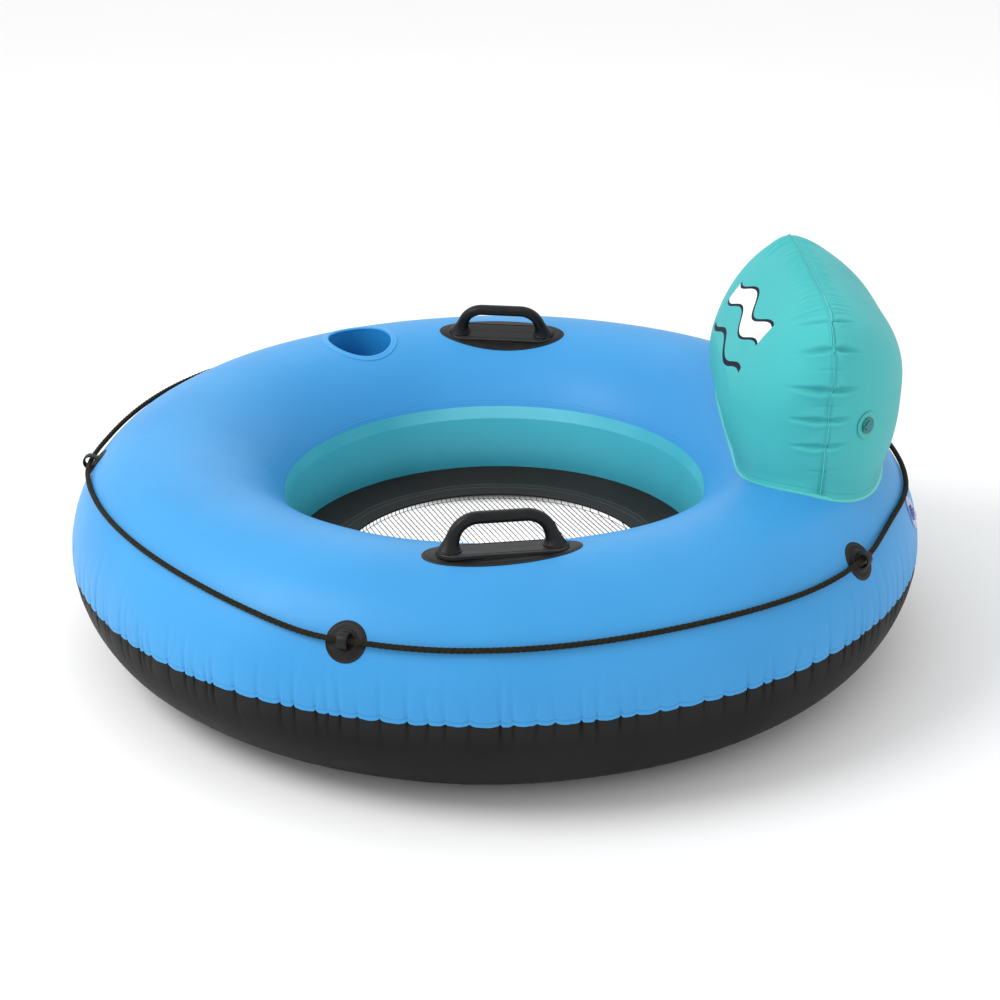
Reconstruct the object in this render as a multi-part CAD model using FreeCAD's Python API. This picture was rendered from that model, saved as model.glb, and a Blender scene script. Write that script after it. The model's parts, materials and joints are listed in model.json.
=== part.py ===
"""Inflatable river tube with a backrest, mesh floor, cup pocket, two handles and a grab rope.

Frame: millimetres, origin on the ground at the middle of the air ring, +Z up, +X towards the
backrest. A bearing is the angle round the ring from +X, positive towards +Y. A section angle is
the angle round the air ring's section from its top, positive outwards.
"""
import FreeCAD
import Part
import math
import os

V = FreeCAD.Vector
UP = V(0, 0, 1)

# ---- air ring ----
outer_radius = 675.0
tube_radius = 166.5
rest_flat = 0.7             # how far the round section is flattened where it rests
skin = 1.2                  # sheet thickness
pad = 1.4                   # thickness of every patch welded on the skin
outer_seam_height = 162.0
upper_seam_radius, upper_seam_height = 337.5, 230.0
lower_seam_radius, lower_seam_height = 334.0, 116.5
wall_bulge = 4.0
band_height = 22.0          # lighter band at the top of the inner wall

# ---- floor ----
floor_edge_radius, floor_edge_height = 251.3, 99.1
mesh_margin = 13.0          # how far the mesh runs under the floor ring
mesh_thickness = 1.0
mesh_centre_height = 90.0

# ---- backrest pillow ----
seam_place = 476.7          # where the seam plane crosses the level seam_level
seam_level = 330.0
seam_lean = 0.0585          # outward lean of the seam plane, run over rise
half_width = 291.3
width_taper = 0.00012       # change of width per millimetre of height
middle_height = 413.1
rise, drop = 169.0, 217.1   # seam outline above and below the middle height
seam_squareness, face_squareness = 4.74, 2.71
front_depth, front_round, front_crown = 130.2, 2.96, 1.52
rear_depth, rear_round, rear_crown = 156.0, 1.875, 1.77
fin_half, fin_height = 0.8, 6.0
weld_flange = 9.0

# ---- cup pocket ----
cup_bearing, cup_angle = 119.6, -8.0
cup_radius, cup_depth, cup_wall = 56.0, 88.0, 1.4
cup_corner = 10.0
cup_ring_width = 10.0
drain_radius, drain_offset = 4.0, 30.0

# ---- handles: bearing, section angle, turn about the outward normal ----
handles = {"near_handle": (-88.8, -6.0, 8.0), "far_handle": (88.0, -16.0, -4.0)}
handle_patch_length, handle_patch_width = 225.0, 90.0
plateau_length, plateau_width, plateau_top, plateau_round = 186.0, 52.0, 4.6, 2.2
grip_foot, grip_shoulder, grip_height = 75.0, 59.0, 50.0
grip_radius, grip_corner = 9.2, 36.0
collar_radius, collar_step, collar_ledge, collar_height = 18.0, 3.0, 2.4, 20.0

# ---- rope guides: bearing, section angle ----
guides = [(36.0, 55.0), (108.0, 55.0), (180.0, 53.2), (252.0, 56.0), (324.0, 56.0)]
guide_radius, hub_radius, hub_top, hub_round = 29.0, 16.0, 3.4, 0.8
eye_width, eye_length, eye_top, eye_wall = 24.0, 15.0, 20.0, 3.0

# ---- valves ----
valve_bearing, valve_angle = -12.4, 67.8
backrest_valve_x, backrest_valve_z = 544.0, 423.0
main_seat_radius, backrest_seat_radius = 26.0, 20.0
well_radius, collar_wall, well_depth = 11.0, 1.7, 14.0
running_gap = 0.3
nozzle_radius, rim_radius, rim_top = 4.5, 12.5, 3.5
stem_length, lip_radius, barrel_wall = 25.0, 10.4, 1.5
cap_radius, cap_thickness = 7.2, 1.5
hinge_offset, strap_width = 10.5, 4.0
flap_radius, flap_thickness = 8.2, 1.0

# ---- grab rope: bearing, section angle, height of its middle above the skin ----
rope_radius = 4.0
sleeve_radius, sleeve_overlap = 6.4, 4.0
arc_share = 0.45            # share of the shorter run that an arc takes
rope_route = [
    (20.4, 57.8, 7.2), (24.6, 57.4, 6.6), (29.6, 56.2, 6.8),
    (33.8, 55.0, 8.6), (38.2, 55.0, 8.6), (42.5, 55.5, 6.8), (49.0, 56.5, 6.4), (58.0, 57.0, 6.4),
    (67.5, 57.5, 6.4), (77.0, 57.0, 6.4), (86.0, 57.5, 6.4), (94.5, 57.0, 6.4), (101.5, 56.0, 6.8),
    (105.8, 55.0, 8.6), (110.2, 55.0, 8.6), (114.5, 54.5, 6.8), (121.0, 52.5, 6.4), (130.0, 49.5, 6.4),
    (139.5, 46.5, 6.4), (149.0, 44.5, 6.4), (158.0, 44.0, 6.4), (166.5, 46.2, 6.4), (173.5, 50.5, 6.8),
    (177.8, 53.2, 8.6), (182.2, 53.2, 8.6), (186.5, 51.5, 6.8), (193.5, 48.5, 6.4), (203.0, 46.2, 6.4),
    (213.0, 45.2, 6.4), (222.5, 46.0, 6.4), (232.0, 48.5, 6.4), (240.0, 52.0, 6.4), (245.8, 55.0, 6.8),
    (249.8, 56.0, 8.6), (254.2, 56.0, 8.6), (258.5, 56.4, 6.8), (265.0, 56.6, 6.4), (274.0, 56.0, 6.4),
    (283.5, 55.0, 6.4), (293.5, 54.4, 6.4), (303.0, 55.0, 6.4), (311.0, 56.2, 6.4), (317.5, 56.6, 6.8),
    (321.8, 56.0, 8.6), (326.2, 56.0, 8.6), (330.5, 54.0, 6.8), (336.5, 52.5, 6.4), (344.0, 54.5, 6.4),
    (351.0, 57.0, 6.4), (359.0, 57.8, 6.4), (367.0, 57.4, 6.4), (373.2, 57.8, 6.6), (377.6, 57.8, 7.2),
]

# ---- worked out from the above ----
ring_radius = outer_radius - tube_radius
centre_height = tube_radius - rest_flat
crest = centre_height + tube_radius
reach = 2 * outer_radius    # longer than anything in the object
reach_in = 30.0             # deeper than any sheet, shallower than the ring


def arc_radius(run, fall):
    """Radius of an arc that starts level and falls by fall over run."""
    return (run ** 2 + fall ** 2) / (2 * fall)


top_inner_radius = arc_radius(ring_radius - upper_seam_radius, crest - upper_seam_height)
bottom_inner_radius = arc_radius(ring_radius - lower_seam_radius, lower_seam_height + rest_flat)


def ring_frame(bearing, angle, lift=0.0):
    """Point on the air ring, raised by lift, with its outward normal and its forward tangent."""
    radius = tube_radius if angle >= 0 else top_inner_radius
    b, a = math.radians(bearing), math.radians(angle)
    out = ring_radius + (radius + lift) * math.sin(a)
    height = crest - radius + (radius + lift) * math.cos(a)
    point = V(out * math.cos(b), out * math.sin(b), height)
    normal = V(math.sin(a) * math.cos(b), math.sin(a) * math.sin(b), math.cos(a))
    return point, normal, V(-math.sin(b), math.cos(b), 0)


def placed(shape, origin, z_dir, x_dir):
    """Copy of a shape moved so that its origin, +Z and +X go to the given place and directions."""
    y_dir = z_dir.cross(x_dir)
    matrix = FreeCAD.Matrix(x_dir.x, y_dir.x, z_dir.x, origin.x,
                            x_dir.y, y_dir.y, z_dir.y, origin.y,
                            x_dir.z, y_dir.z, z_dir.z, origin.z, 0, 0, 0, 1)
    moved = shape.copy()
    moved.Placement = FreeCAD.Placement(matrix).multiply(moved.Placement)
    return moved


def polygon(points):
    """Flat face in the XZ plane from (x, z) corners."""
    corners = [V(x, 0, z) for x, z in points]
    return Part.Face(Part.makePolygon(corners + corners[:1]))


def turned(face):
    """Full turn of a face about the Z axis."""
    return face.Faces[0].revolve(V(0, 0, 0), UP, 360)


def disc(radius, low, high):
    return Part.makeCylinder(radius, high - low, V(0, 0, low))


def tube(outer, inner, low, high):
    return disc(outer, low, high).cut(disc(inner, low, high))


def whole(shape):
    """The single solid of a result that may be wrapped in a compound."""
    return shape.Solids[0] if len(shape.Solids) == 1 else shape


# ---------------------------------------------------------------- air ring

def section(grow=0.0):
    """Outline of the air ring's section, offset outwards by grow."""
    def arc(centre_x, radius, angles):
        return Part.Arc(*[V(centre_x + radius * math.sin(a), 0, centre_z + radius * math.cos(a))
                          for a in angles]).toShape()

    centre_z = centre_height
    outer_end = math.pi - math.acos(centre_height / tube_radius)
    outer = arc(ring_radius, tube_radius, [0, outer_end / 2, outer_end])
    centre_z = crest - top_inner_radius
    upper_end = -math.asin((ring_radius - upper_seam_radius) / top_inner_radius)
    upper = arc(ring_radius, top_inner_radius, [upper_end, upper_end / 2, 0])
    centre_z = bottom_inner_radius - rest_flat
    lower_start = math.pi + math.acos(centre_z / bottom_inner_radius)
    lower_end = math.pi + math.asin((ring_radius - lower_seam_radius) / bottom_inner_radius)
    lower = arc(ring_radius, bottom_inner_radius, [lower_start, (lower_start + lower_end) / 2, lower_end])
    wall_middle = V((upper_seam_radius + lower_seam_radius) / 2 - wall_bulge, 0,
                    (upper_seam_height + lower_seam_height) / 2)
    wall = Part.Arc(V(lower_seam_radius, 0, lower_seam_height), wall_middle,
                    V(upper_seam_radius, 0, upper_seam_height)).toShape()
    flat = Part.makeLine(outer.Vertexes[-1].Point, lower.Vertexes[0].Point)
    face = Part.Face(Part.Wire(Part.__sortEdges__([outer, flat, lower, wall, upper])))
    return face.makeOffset2D(grow, 2) if grow else face


def ring_skins(outline):
    """Top skin, bottom skin, inner wall and its top band, each a full turn of a strip."""
    sheet = outline.cut(section(-skin))
    band_foot = upper_seam_height - band_height
    above = polygon([(0, upper_seam_height), (ring_radius, upper_seam_height),
                     (ring_radius, outer_seam_height), (reach, outer_seam_height),
                     (reach, reach), (0, reach)])
    below = polygon([(0, -reach), (reach, -reach), (reach, outer_seam_height),
                     (ring_radius, outer_seam_height), (ring_radius, lower_seam_height),
                     (0, lower_seam_height)])
    wall = polygon([(0, lower_seam_height), (ring_radius, lower_seam_height),
                    (ring_radius, band_foot), (0, band_foot)])
    band = polygon([(0, band_foot), (ring_radius, band_foot),
                    (ring_radius, upper_seam_height), (0, upper_seam_height)])
    return [turned(sheet.common(zone)) for zone in (above, below, wall, band)]


def floor_parts(outline):
    """Sloping floor ring, the mesh under its edge and the weld strip under the mesh."""
    slope = (lower_seam_height - floor_edge_height) / (lower_seam_radius - floor_edge_radius)
    level = math.sqrt(1 + slope ** 2)
    under_ring = skin * level
    under_mesh = under_ring + mesh_thickness * level
    under_strip = under_mesh + skin * level
    margin = floor_edge_radius + mesh_margin

    def corner(radius, depth=0.0):
        return radius, floor_edge_height + slope * (radius - floor_edge_radius) - depth

    edge = floor_edge_radius
    far = lower_seam_radius + 5 * skin
    ring = polygon([corner(edge), corner(far), corner(far, under_ring), corner(edge, under_ring)])
    mesh = polygon([corner(margin, under_ring), corner(edge, under_ring), (0, mesh_centre_height),
                    (0, mesh_centre_height - mesh_thickness), corner(edge, under_mesh),
                    corner(margin, under_mesh)])
    strip = polygon([corner(edge, under_mesh), corner(margin, under_mesh),
                     corner(margin, under_strip), corner(edge, under_strip)])
    return [turned(ring.cut(outline)), turned(mesh), turned(strip)]


# ---------------------------------------------------------------- backrest

def pillow_contour(offset, fraction, round_power, crown_power, swell):
    """Closed outline of the pillow in the plane at offset from the seam plane."""
    width = (half_width + swell) * (1 - fraction ** round_power) ** (1 / round_power)
    crown = (1 - fraction ** crown_power) ** (1 / crown_power)
    squareness = seam_squareness + (face_squareness - seam_squareness) * fraction ** 0.7
    points = []
    for step in range(24):
        a = 2 * math.pi * (step + 0.5) / 24
        up = math.copysign(abs(math.sin(a)) ** (2 / squareness), math.sin(a))
        across = math.copysign(abs(math.cos(a)) ** (2 / squareness), math.cos(a))
        z = middle_height + up * crown * ((rise if up > 0 else drop) + swell)
        y = across * width * (1 + width_taper * (middle_height - z))
        points.append(V(seam_place + seam_lean * (z - seam_level) + offset, y, z))
    curve = Part.BSplineCurve()
    curve.interpolate(points, PeriodicFlag=True)
    return Part.Wire(curve.toShape())


def pillow_half(side, swell=0.0):
    """Solid half of the pillow on one side of the seam fin; side is -1 in front and 1 behind."""
    depth, round_power, crown_power = ((front_depth, front_round, front_crown) if side < 0
                                       else (rear_depth, rear_round, rear_crown))
    contours = []
    for fraction in (0.0, 0.3, 0.55, 0.75, 0.88, 0.95, 0.985, 0.998):
        offset = side * (fin_half + (depth + swell - fin_half) * fraction)
        contours.append(pillow_contour(offset, fraction, round_power, crown_power, swell))
    return Part.makeLoft(contours, True, False)


def fin_slab(swell=0.0):
    """The pillow's seam outline, as thick as the welded fin."""
    face = Part.Face(pillow_contour(-fin_half, 0.0, 2.0, 2.0, swell))
    return face.extrude(V(2 * fin_half, 0, 0))


def pillow_body(swell=0.0):
    return pillow_half(-1, swell).fuse(fin_slab(swell)).fuse(pillow_half(1, swell))


def backrest_panel(side, padded_ring):
    shell = pillow_half(side).cut(pillow_half(side, -skin))
    return shell.cut(padded_ring)


def surface_place(solid, inside, outside):
    """Where the line from inside to outside leaves a solid, and the outward normal there."""
    stretch = Part.makeLine(inside, outside).common(solid)
    ends = [vertex.Point for vertex in stretch.Vertexes]
    point = min(ends, key=lambda end: end.distanceToPoint(outside))
    nearest = min(solid.Faces, key=lambda face: face.distToShape(Part.Vertex(point))[0])
    u, v = nearest.Surface.parameter(point)
    normal = nearest.normalAt(u, v)
    return point, normal if normal.dot(outside - inside) > 0 else normal * -1


# ---------------------------------------------------------------- fittings

def welded(prism, ring, padded_ring):
    """The part of a prism that lies in the patch layer on the skin."""
    return whole(prism.common(padded_ring).cut(ring))


def stadium(length, width, low, high):
    """Flat-sided, round-ended prism along X."""
    half, radius = length / 2 - width / 2, width / 2
    edges = [Part.makeLine(V(-half, -radius, low), V(half, -radius, low)),
             Part.Arc(V(half, -radius, low), V(half + radius, 0, low), V(half, radius, low)).toShape(),
             Part.makeLine(V(half, radius, low), V(-half, radius, low)),
             Part.Arc(V(-half, radius, low), V(-half - radius, 0, low), V(-half, -radius, low)).toShape()]
    return Part.Face(Part.Wire(edges)).extrude(V(0, 0, high - low))


def rounded_top(solid, high, radius):
    edges = [edge for edge in solid.Edges if all(abs(v.Point.z - high) < 1e-6 for v in edge.Vertexes)]
    return solid.makeFillet(radius, edges)


def swept(points, radii, section_radius):
    """Round bar along straight runs joined by tangent arcs of the given radii."""
    edges, start = [], points[0]
    for before, corner, after, radius in zip(points, points[1:], points[2:], radii):
        inward, onward = (corner - before).normalize(), (after - corner).normalize()
        half_turn = inward.getAngle(onward) / 2
        tangent = radius * math.tan(half_turn)
        first, last = corner - inward * tangent, corner + onward * tangent
        bisector = (onward - inward).normalize()
        middle = corner + bisector * (radius / math.cos(half_turn) - radius)
        edges += [Part.makeLine(start, first), Part.Arc(first, middle, last).toShape()]
        start = last
    edges.append(Part.makeLine(start, points[-1]))
    profile = Part.Wire(Part.makeCircle(section_radius, points[0], points[1] - points[0]))
    return Part.Wire(edges).makePipeShell([profile], True, False), sum(edge.Length for edge in edges)


def handle_parts(bearing, angle, turn, ring, padded_ring):
    """Weld patch with its raised plateau, and the grip with its two collars."""
    point, normal, tangent = ring_frame(bearing, angle)
    along = FreeCAD.Rotation(normal, turn).multVec(tangent)
    oval = Part.Face(Part.Wire(Part.Ellipse(V(0, 0, -reach_in), handle_patch_length / 2,
                                            handle_patch_width / 2).toShape())).extrude(UP * 2 * reach_in)
    patch = welded(placed(oval, point, normal, along), ring, padded_ring)
    plateau = stadium(plateau_length, plateau_width, -reach_in, plateau_top)
    plateau = rounded_top(plateau, plateau_top, plateau_round)
    patch = patch.fuse(placed(plateau, point, normal, along).cut(padded_ring)).removeSplitter()
    feet = V(-grip_foot, 0, plateau_top), V(grip_foot, 0, plateau_top)
    line = [feet[0], V(-grip_shoulder, 0, grip_height), V(grip_shoulder, 0, grip_height), feet[1]]
    grip, _ = swept(line, [grip_corner, grip_corner], grip_radius)
    for foot, shoulder in zip(feet, (line[1], line[2])):
        lean = (shoulder - foot).normalize()
        flare = Part.makeCone(collar_radius - collar_step, grip_radius, collar_height, foot, lean)
        ledge = Part.makeCylinder(collar_radius, collar_ledge, foot, UP)
        grip = grip.fuse(flare).fuse(ledge)
    inside = disc(reach, plateau_top - reach_in, plateau_top)
    return whole(patch), whole(placed(grip.cut(inside), point, normal, along))


def guide_parts(bearing, angle, ring, padded_ring):
    """Round weld patch and hub, and the eye that the rope runs through."""
    point, normal, tangent = ring_frame(bearing, angle)
    patch = placed(disc(guide_radius, -reach_in, reach_in), point, normal, tangent)
    patch = welded(patch, ring, padded_ring)
    hub = rounded_top(disc(hub_radius, -reach_in, hub_top), hub_top, hub_round)
    patch = patch.fuse(placed(hub, point, normal, tangent).cut(padded_ring)).removeSplitter()

    def arch(half, foot):
        middle = eye_top - eye_width / 2
        edges = [Part.makeLine(V(0, -half, foot), V(0, -half, middle)),
                 Part.Arc(V(0, -half, middle), V(0, 0, middle + half), V(0, half, middle)).toShape(),
                 Part.makeLine(V(0, half, middle), V(0, half, foot)),
                 Part.makeLine(V(0, half, foot), V(0, -half, foot))]
        return Part.Face(Part.Wire(edges))

    strap = arch(eye_width / 2, hub_top).cut(arch(eye_width / 2 - eye_wall, 0))
    eye = strap.Faces[0].extrude(V(eye_length, 0, 0))
    eye.translate(V(-eye_length / 2, 0, 0))
    return whole(patch), whole(placed(eye, point, normal, tangent))


def cup_parts(ring, padded_ring):
    """Pocket with a drain hole in its bottom, the weld ring round its mouth, and the skin's hole."""
    point, normal, tangent = ring_frame(cup_bearing, cup_angle)
    outer = cup_radius + cup_wall
    body = disc(outer, -cup_depth - cup_wall, reach_in)
    foot = [edge for edge in body.Edges if all(v.Point.z < 0 for v in edge.Vertexes)]
    body = body.makeFillet(cup_corner + cup_wall, foot)
    hollow = disc(cup_radius, -cup_depth, 2 * reach_in)
    foot = [edge for edge in hollow.Edges if all(v.Point.z < 0 for v in edge.Vertexes)]
    hollow = hollow.makeFillet(cup_corner, foot)
    drain = Part.makeCylinder(drain_radius, reach_in, V(drain_offset, 0, -cup_depth - reach_in / 2))
    pocket = placed(body.cut(hollow).cut(drain), point, normal, tangent).common(ring)
    rim = placed(tube(outer + cup_ring_width, cup_radius, -reach_in, reach_in), point, normal, tangent)
    hole = placed(disc(outer, -cup_depth, reach_in), point, normal, tangent)
    return whole(pocket), welded(rim, ring, padded_ring), hole


def valve_parts():
    """A valve's sliding stem, tethered plug and check flap, about its own axis."""
    barrel = well_radius - collar_wall - running_gap
    stem = disc(barrel, -stem_length, pad + running_gap + 1)
    stem = stem.fuse(disc(rim_radius, pad + running_gap, rim_top))
    stem = stem.fuse(disc(lip_radius, -stem_length, -stem_length + pad))
    stem = stem.cut(disc(nozzle_radius, -stem_length, rim_top))
    stem = stem.cut(disc(barrel - barrel_wall, -stem_length, -2 * barrel_wall))
    cap_low = rim_top + running_gap
    cap_middle = cap_low + cap_thickness / 2
    tip = Part.makeCone(nozzle_radius - barrel_wall, nozzle_radius - running_gap, cap_low)
    strap = Part.makeBox(hinge_offset, strap_width, cap_thickness,
                         V(-hinge_offset, -strap_width / 2, cap_low))
    knuckle = Part.makeCylinder(cap_thickness / 2, strap_width,
                                V(-hinge_offset, -strap_width / 2, cap_middle), V(0, 1, 0))
    plug = disc(cap_radius, cap_low, cap_low + cap_thickness).fuse(strap).fuse(knuckle).fuse(tip)
    flap = disc(flap_radius, -stem_length - running_gap - flap_thickness, -stem_length - running_gap)
    return stem.removeSplitter(), plug.removeSplitter(), flap


def valve_seat(place, radius, base, padded):
    """Welded flange and the collar that guides the stem, on a surface given as two solids."""
    bore = well_radius - collar_wall
    flange = placed(disc(radius, -reach_in, reach_in), *place).common(padded).cut(base)
    collar = placed(disc(well_radius, -well_depth, reach_in), *place).common(padded)
    return whole(flange.fuse(collar).cut(placed(disc(bore, -well_depth, reach_in), *place)).removeSplitter())


# ---------------------------------------------------------------- grab rope

def rope_parts():
    """The rope round the ring and the crimped sleeve that joins its two ends."""
    points = [ring_frame(*place)[0] for place in rope_route]
    radii = []
    for before, corner, after in zip(points, points[1:], points[2:]):
        half_turn = (corner - before).getAngle(after - corner) / 2
        shorter = min((corner - before).Length, (after - corner).Length)
        radii.append(arc_share * shorter / math.tan(half_turn))
    rope, length = swept(points, radii, rope_radius)
    runs = [(b - a).Length for a, b in zip(points, points[1:])]
    print("rope arc radii", [round(radius) for radius in radii])
    print("rope runs", [round(run) for run in runs])
    print("rope length", round(length, 1), "volume over section times length",
          round(rope.Volume / (math.pi * rope_radius ** 2 * length), 5))
    first, last = points[0], points[-1]
    axis = (first - last).normalize()
    sleeve = Part.makeCylinder(sleeve_radius, (first - last).Length + 2 * sleeve_overlap,
                               last - axis * sleeve_overlap, axis)
    for end, beyond in ((first, points[1]), (last, points[-2])):
        away = (beyond - end).normalize()
        cutter = placed(disc(reach_in, 0, reach_in), end, away, away.cross(UP).normalize())
        sleeve = sleeve.cut(cutter)
    return rope, sleeve


# ---------------------------------------------------------------- the whole object

def build():
    outline = section()
    ring, padded_ring = turned(outline), turned(section(pad))
    top_skin, bottom_skin, inner_wall, wall_band = ring_skins(outline)
    floor_ring, floor_mesh, mesh_strip = floor_parts(outline)
    parts = {"bottom_skin": bottom_skin, "inner_wall": inner_wall, "wall_top_band": wall_band,
             "floor_ring": floor_ring, "floor_mesh": floor_mesh, "mesh_weld_strip": mesh_strip}

    pocket, cup_rim, cup_hole = cup_parts(ring, padded_ring)
    parts["cup_pocket"], parts["cup_weld_ring"] = pocket, cup_rim

    for name, (bearing, angle, turn) in handles.items():
        parts[name + "_patch"], parts[name + "_grip"] = handle_parts(bearing, angle, turn, ring, padded_ring)
    for number, (bearing, angle) in enumerate(guides, 1):
        patch, eye = guide_parts(bearing, angle, ring, padded_ring)
        parts["rope_guide_%d_patch" % number] = patch
        parts["rope_guide_%d_eye" % number] = eye
    parts["grab_rope"], parts["rope_sleeve"] = rope_parts()

    pillow = pillow_body()
    rear_half = pillow_half(1)
    line_start = V(backrest_valve_x, 0, backrest_valve_z)
    point, normal = surface_place(rear_half, line_start, line_start + V(0, -reach, 0))
    backrest_place = (point, normal, normal.cross(V(0, 0, -1)).normalize())
    ring_point, ring_normal, ring_tangent = ring_frame(valve_bearing, valve_angle)
    ring_place = (ring_point, ring_normal, ring_tangent)

    parts["backrest_front_panel"] = backrest_panel(-1, padded_ring)
    rear_panel = backrest_panel(1, padded_ring)
    valve_hole = disc(well_radius, -reach_in, reach_in)
    parts["backrest_rear_panel"] = rear_panel.cut(placed(valve_hole, *backrest_place))
    parts["backrest_seam_fin"] = fin_slab(fin_height).cut(fin_slab(-skin)).cut(padded_ring)
    parts["backrest_base_panel"] = welded(pillow, ring, padded_ring)
    parts["backrest_weld_flange"] = welded(pillow_body(weld_flange), ring, padded_ring).cut(pillow)
    top_skin = top_skin.cut(cup_hole)
    parts["top_skin"] = top_skin.cut(placed(valve_hole, *ring_place))

    stem, plug, flap = valve_parts()
    seats = {"main_valve": valve_seat(ring_place, main_seat_radius, ring, padded_ring),
             "backrest_valve": valve_seat(backrest_place, backrest_seat_radius, rear_half,
                                          pillow_half(1, pad))}
    for name, place in (("main_valve", ring_place), ("backrest_valve", backrest_place)):
        parts[name + "_seat"] = seats[name]
        parts[name + "_stem"] = placed(stem, *place)
        parts[name + "_plug"] = placed(plug, *place)
        parts[name + "_flap"] = placed(flap, *place)
        hinge = rim_top + running_gap + cap_thickness / 2
        origin, z_dir, x_dir = place
        print(name, "outward", z_dir, "plug hinge", origin + z_dir * hinge - x_dir * hinge_offset,
              "flap hinge", origin - z_dir * (stem_length + running_gap) - x_dir * flap_radius,
              "hinge axis", z_dir.cross(x_dir))
    return {name: whole(shape) for name, shape in parts.items()}


os.makedirs("parts", exist_ok=True)
for node, solid in build().items():
    count = len(solid.Solids)
    print("%-26s solids %d valid %s volume %.0f" % (node, count, solid.isValid(), solid.Volume))
    solid.exportStep("parts/%s.step" % node)
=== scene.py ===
"""Visual model of the inflatable river tube, in metres, in the frame of the CAD model.

A bearing goes round the ring from +X towards +Y. A section angle goes round the air ring's section
from its top, positive outwards. Rise is the length along the skin above the outer seam.
"""
import json
import math
import bmesh
import bpy
import numpy as np
from mathutils import Matrix, Vector


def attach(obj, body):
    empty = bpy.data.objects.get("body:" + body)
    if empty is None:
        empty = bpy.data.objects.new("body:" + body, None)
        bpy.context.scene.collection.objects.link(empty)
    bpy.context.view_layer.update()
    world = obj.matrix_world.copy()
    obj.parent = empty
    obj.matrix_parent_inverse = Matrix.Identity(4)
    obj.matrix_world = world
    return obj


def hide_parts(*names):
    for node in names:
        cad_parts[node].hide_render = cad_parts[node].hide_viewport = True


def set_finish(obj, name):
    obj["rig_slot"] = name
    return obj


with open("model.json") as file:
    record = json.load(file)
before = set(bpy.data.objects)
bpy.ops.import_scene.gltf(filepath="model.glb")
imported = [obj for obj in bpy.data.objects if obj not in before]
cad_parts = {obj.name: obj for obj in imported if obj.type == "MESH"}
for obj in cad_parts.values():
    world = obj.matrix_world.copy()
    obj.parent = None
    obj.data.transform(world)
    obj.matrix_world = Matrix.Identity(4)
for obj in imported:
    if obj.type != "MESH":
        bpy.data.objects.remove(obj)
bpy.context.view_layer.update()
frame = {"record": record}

TAU, MM = 2 * math.pi, 0.001

# ---- sizes of the CAD model ----
RING, TUBE, CENTRE, CREST = 0.5085, 0.1665, 0.1658, 0.3323
OUTSIDE = RING + TUBE
SEAM_LEVEL = 0.162
UPPER_SEAM, LOWER_SEAM = (0.3375, 0.230), (0.334, 0.1165)
DROP = CREST - UPPER_SEAM[1]
INNER_TOP = ((RING - UPPER_SEAM[0]) ** 2 + DROP ** 2) / (2 * DROP)
INNER_LOW, REST = 0.1885, 0.0007
WALL_BULGE, BAND = 0.004, 0.022
FLOOR_EDGE, MESH_MARGIN, MESH_CENTRE = (0.2513, 0.0991), 0.013, 0.090
SHEET = 0.0012

CUP = dict(place=(119.6, -8.0), radius=0.056, depth=0.088)
# bearing, section angle and turn of each handle; bearing and section angle of the rest
HANDLES = {"near_handle": (-88.8, -6.0, 8.0), "far_handle": (88.0, -16.0, -4.0)}
GUIDES = [(36.0, 55.0), (108.0, 55.0), (180.0, 53.2), (252.0, 56.0), (324.0, 56.0)]
VALVE, VALVE_HOLE = (-12.4, 67.8), 0.0125
BACK_VALVE = (0.5440, -0.26441, 0.4230), (0.675388, -0.737452, 0.003839)
BACK_VALVE_HOLE = 0.0118

# bearing, section angle and height above the skin in mm
ROPE_ROUTE = [
    (20.4, 57.8, 7.2), (24.6, 57.4, 6.6), (29.6, 56.2, 6.8),
    (33.8, 55.0, 8.6), (38.2, 55.0, 8.6), (42.5, 55.5, 6.8), (49.0, 56.5, 6.4), (58.0, 57.0, 6.4),
    (67.5, 57.5, 6.4), (77.0, 57.0, 6.4), (86.0, 57.5, 6.4), (94.5, 57.0, 6.4), (101.5, 56.0, 6.8),
    (105.8, 55.0, 8.6), (110.2, 55.0, 8.6), (114.5, 54.5, 6.8), (121.0, 52.5, 6.4),
    (130.0, 49.5, 6.4), (139.5, 46.5, 6.4), (149.0, 44.5, 6.4), (158.0, 44.0, 6.4),
    (166.5, 46.2, 6.4), (173.5, 50.5, 6.8), (177.8, 53.2, 8.6), (182.2, 53.2, 8.6),
    (186.5, 51.5, 6.8), (193.5, 48.5, 6.4), (203.0, 46.2, 6.4), (213.0, 45.2, 6.4),
    (222.5, 46.0, 6.4), (232.0, 48.5, 6.4), (240.0, 52.0, 6.4), (245.8, 55.0, 6.8),
    (249.8, 56.0, 8.6), (254.2, 56.0, 8.6), (258.5, 56.4, 6.8), (265.0, 56.6, 6.4),
    (274.0, 56.0, 6.4), (283.5, 55.0, 6.4), (293.5, 54.4, 6.4), (303.0, 55.0, 6.4),
    (311.0, 56.2, 6.4), (317.5, 56.6, 6.8), (321.8, 56.0, 8.6), (326.2, 56.0, 8.6),
    (330.5, 54.0, 6.8), (336.5, 52.5, 6.4), (344.0, 54.5, 6.4), (351.0, 57.0, 6.4),
    (359.0, 57.8, 6.4), (367.0, 57.4, 6.4), (373.2, 57.8, 6.6), (377.6, 57.8, 7.2),
]


# ---- small helpers ----

def smooth(x, low, high):
    """0 below low, 1 above high, and a soft step between."""
    k = np.clip((x - low) / (high - low), 0, 1)
    return k * k * (3 - 2 * k)


def bell(x):
    return np.exp(-np.asarray(x) ** 2)


def arch(share):
    """0 at both ends of a stretch and 1 in its middle."""
    return np.clip(4 * share * (1 - share), 0, 1)


def unit(v):
    return v / np.maximum(np.linalg.norm(v, axis=-1, keepdims=True), 1e-12)


def turns(count):
    """Angles spaced evenly round a circle."""
    return np.arange(count) / count * TAU


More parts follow.
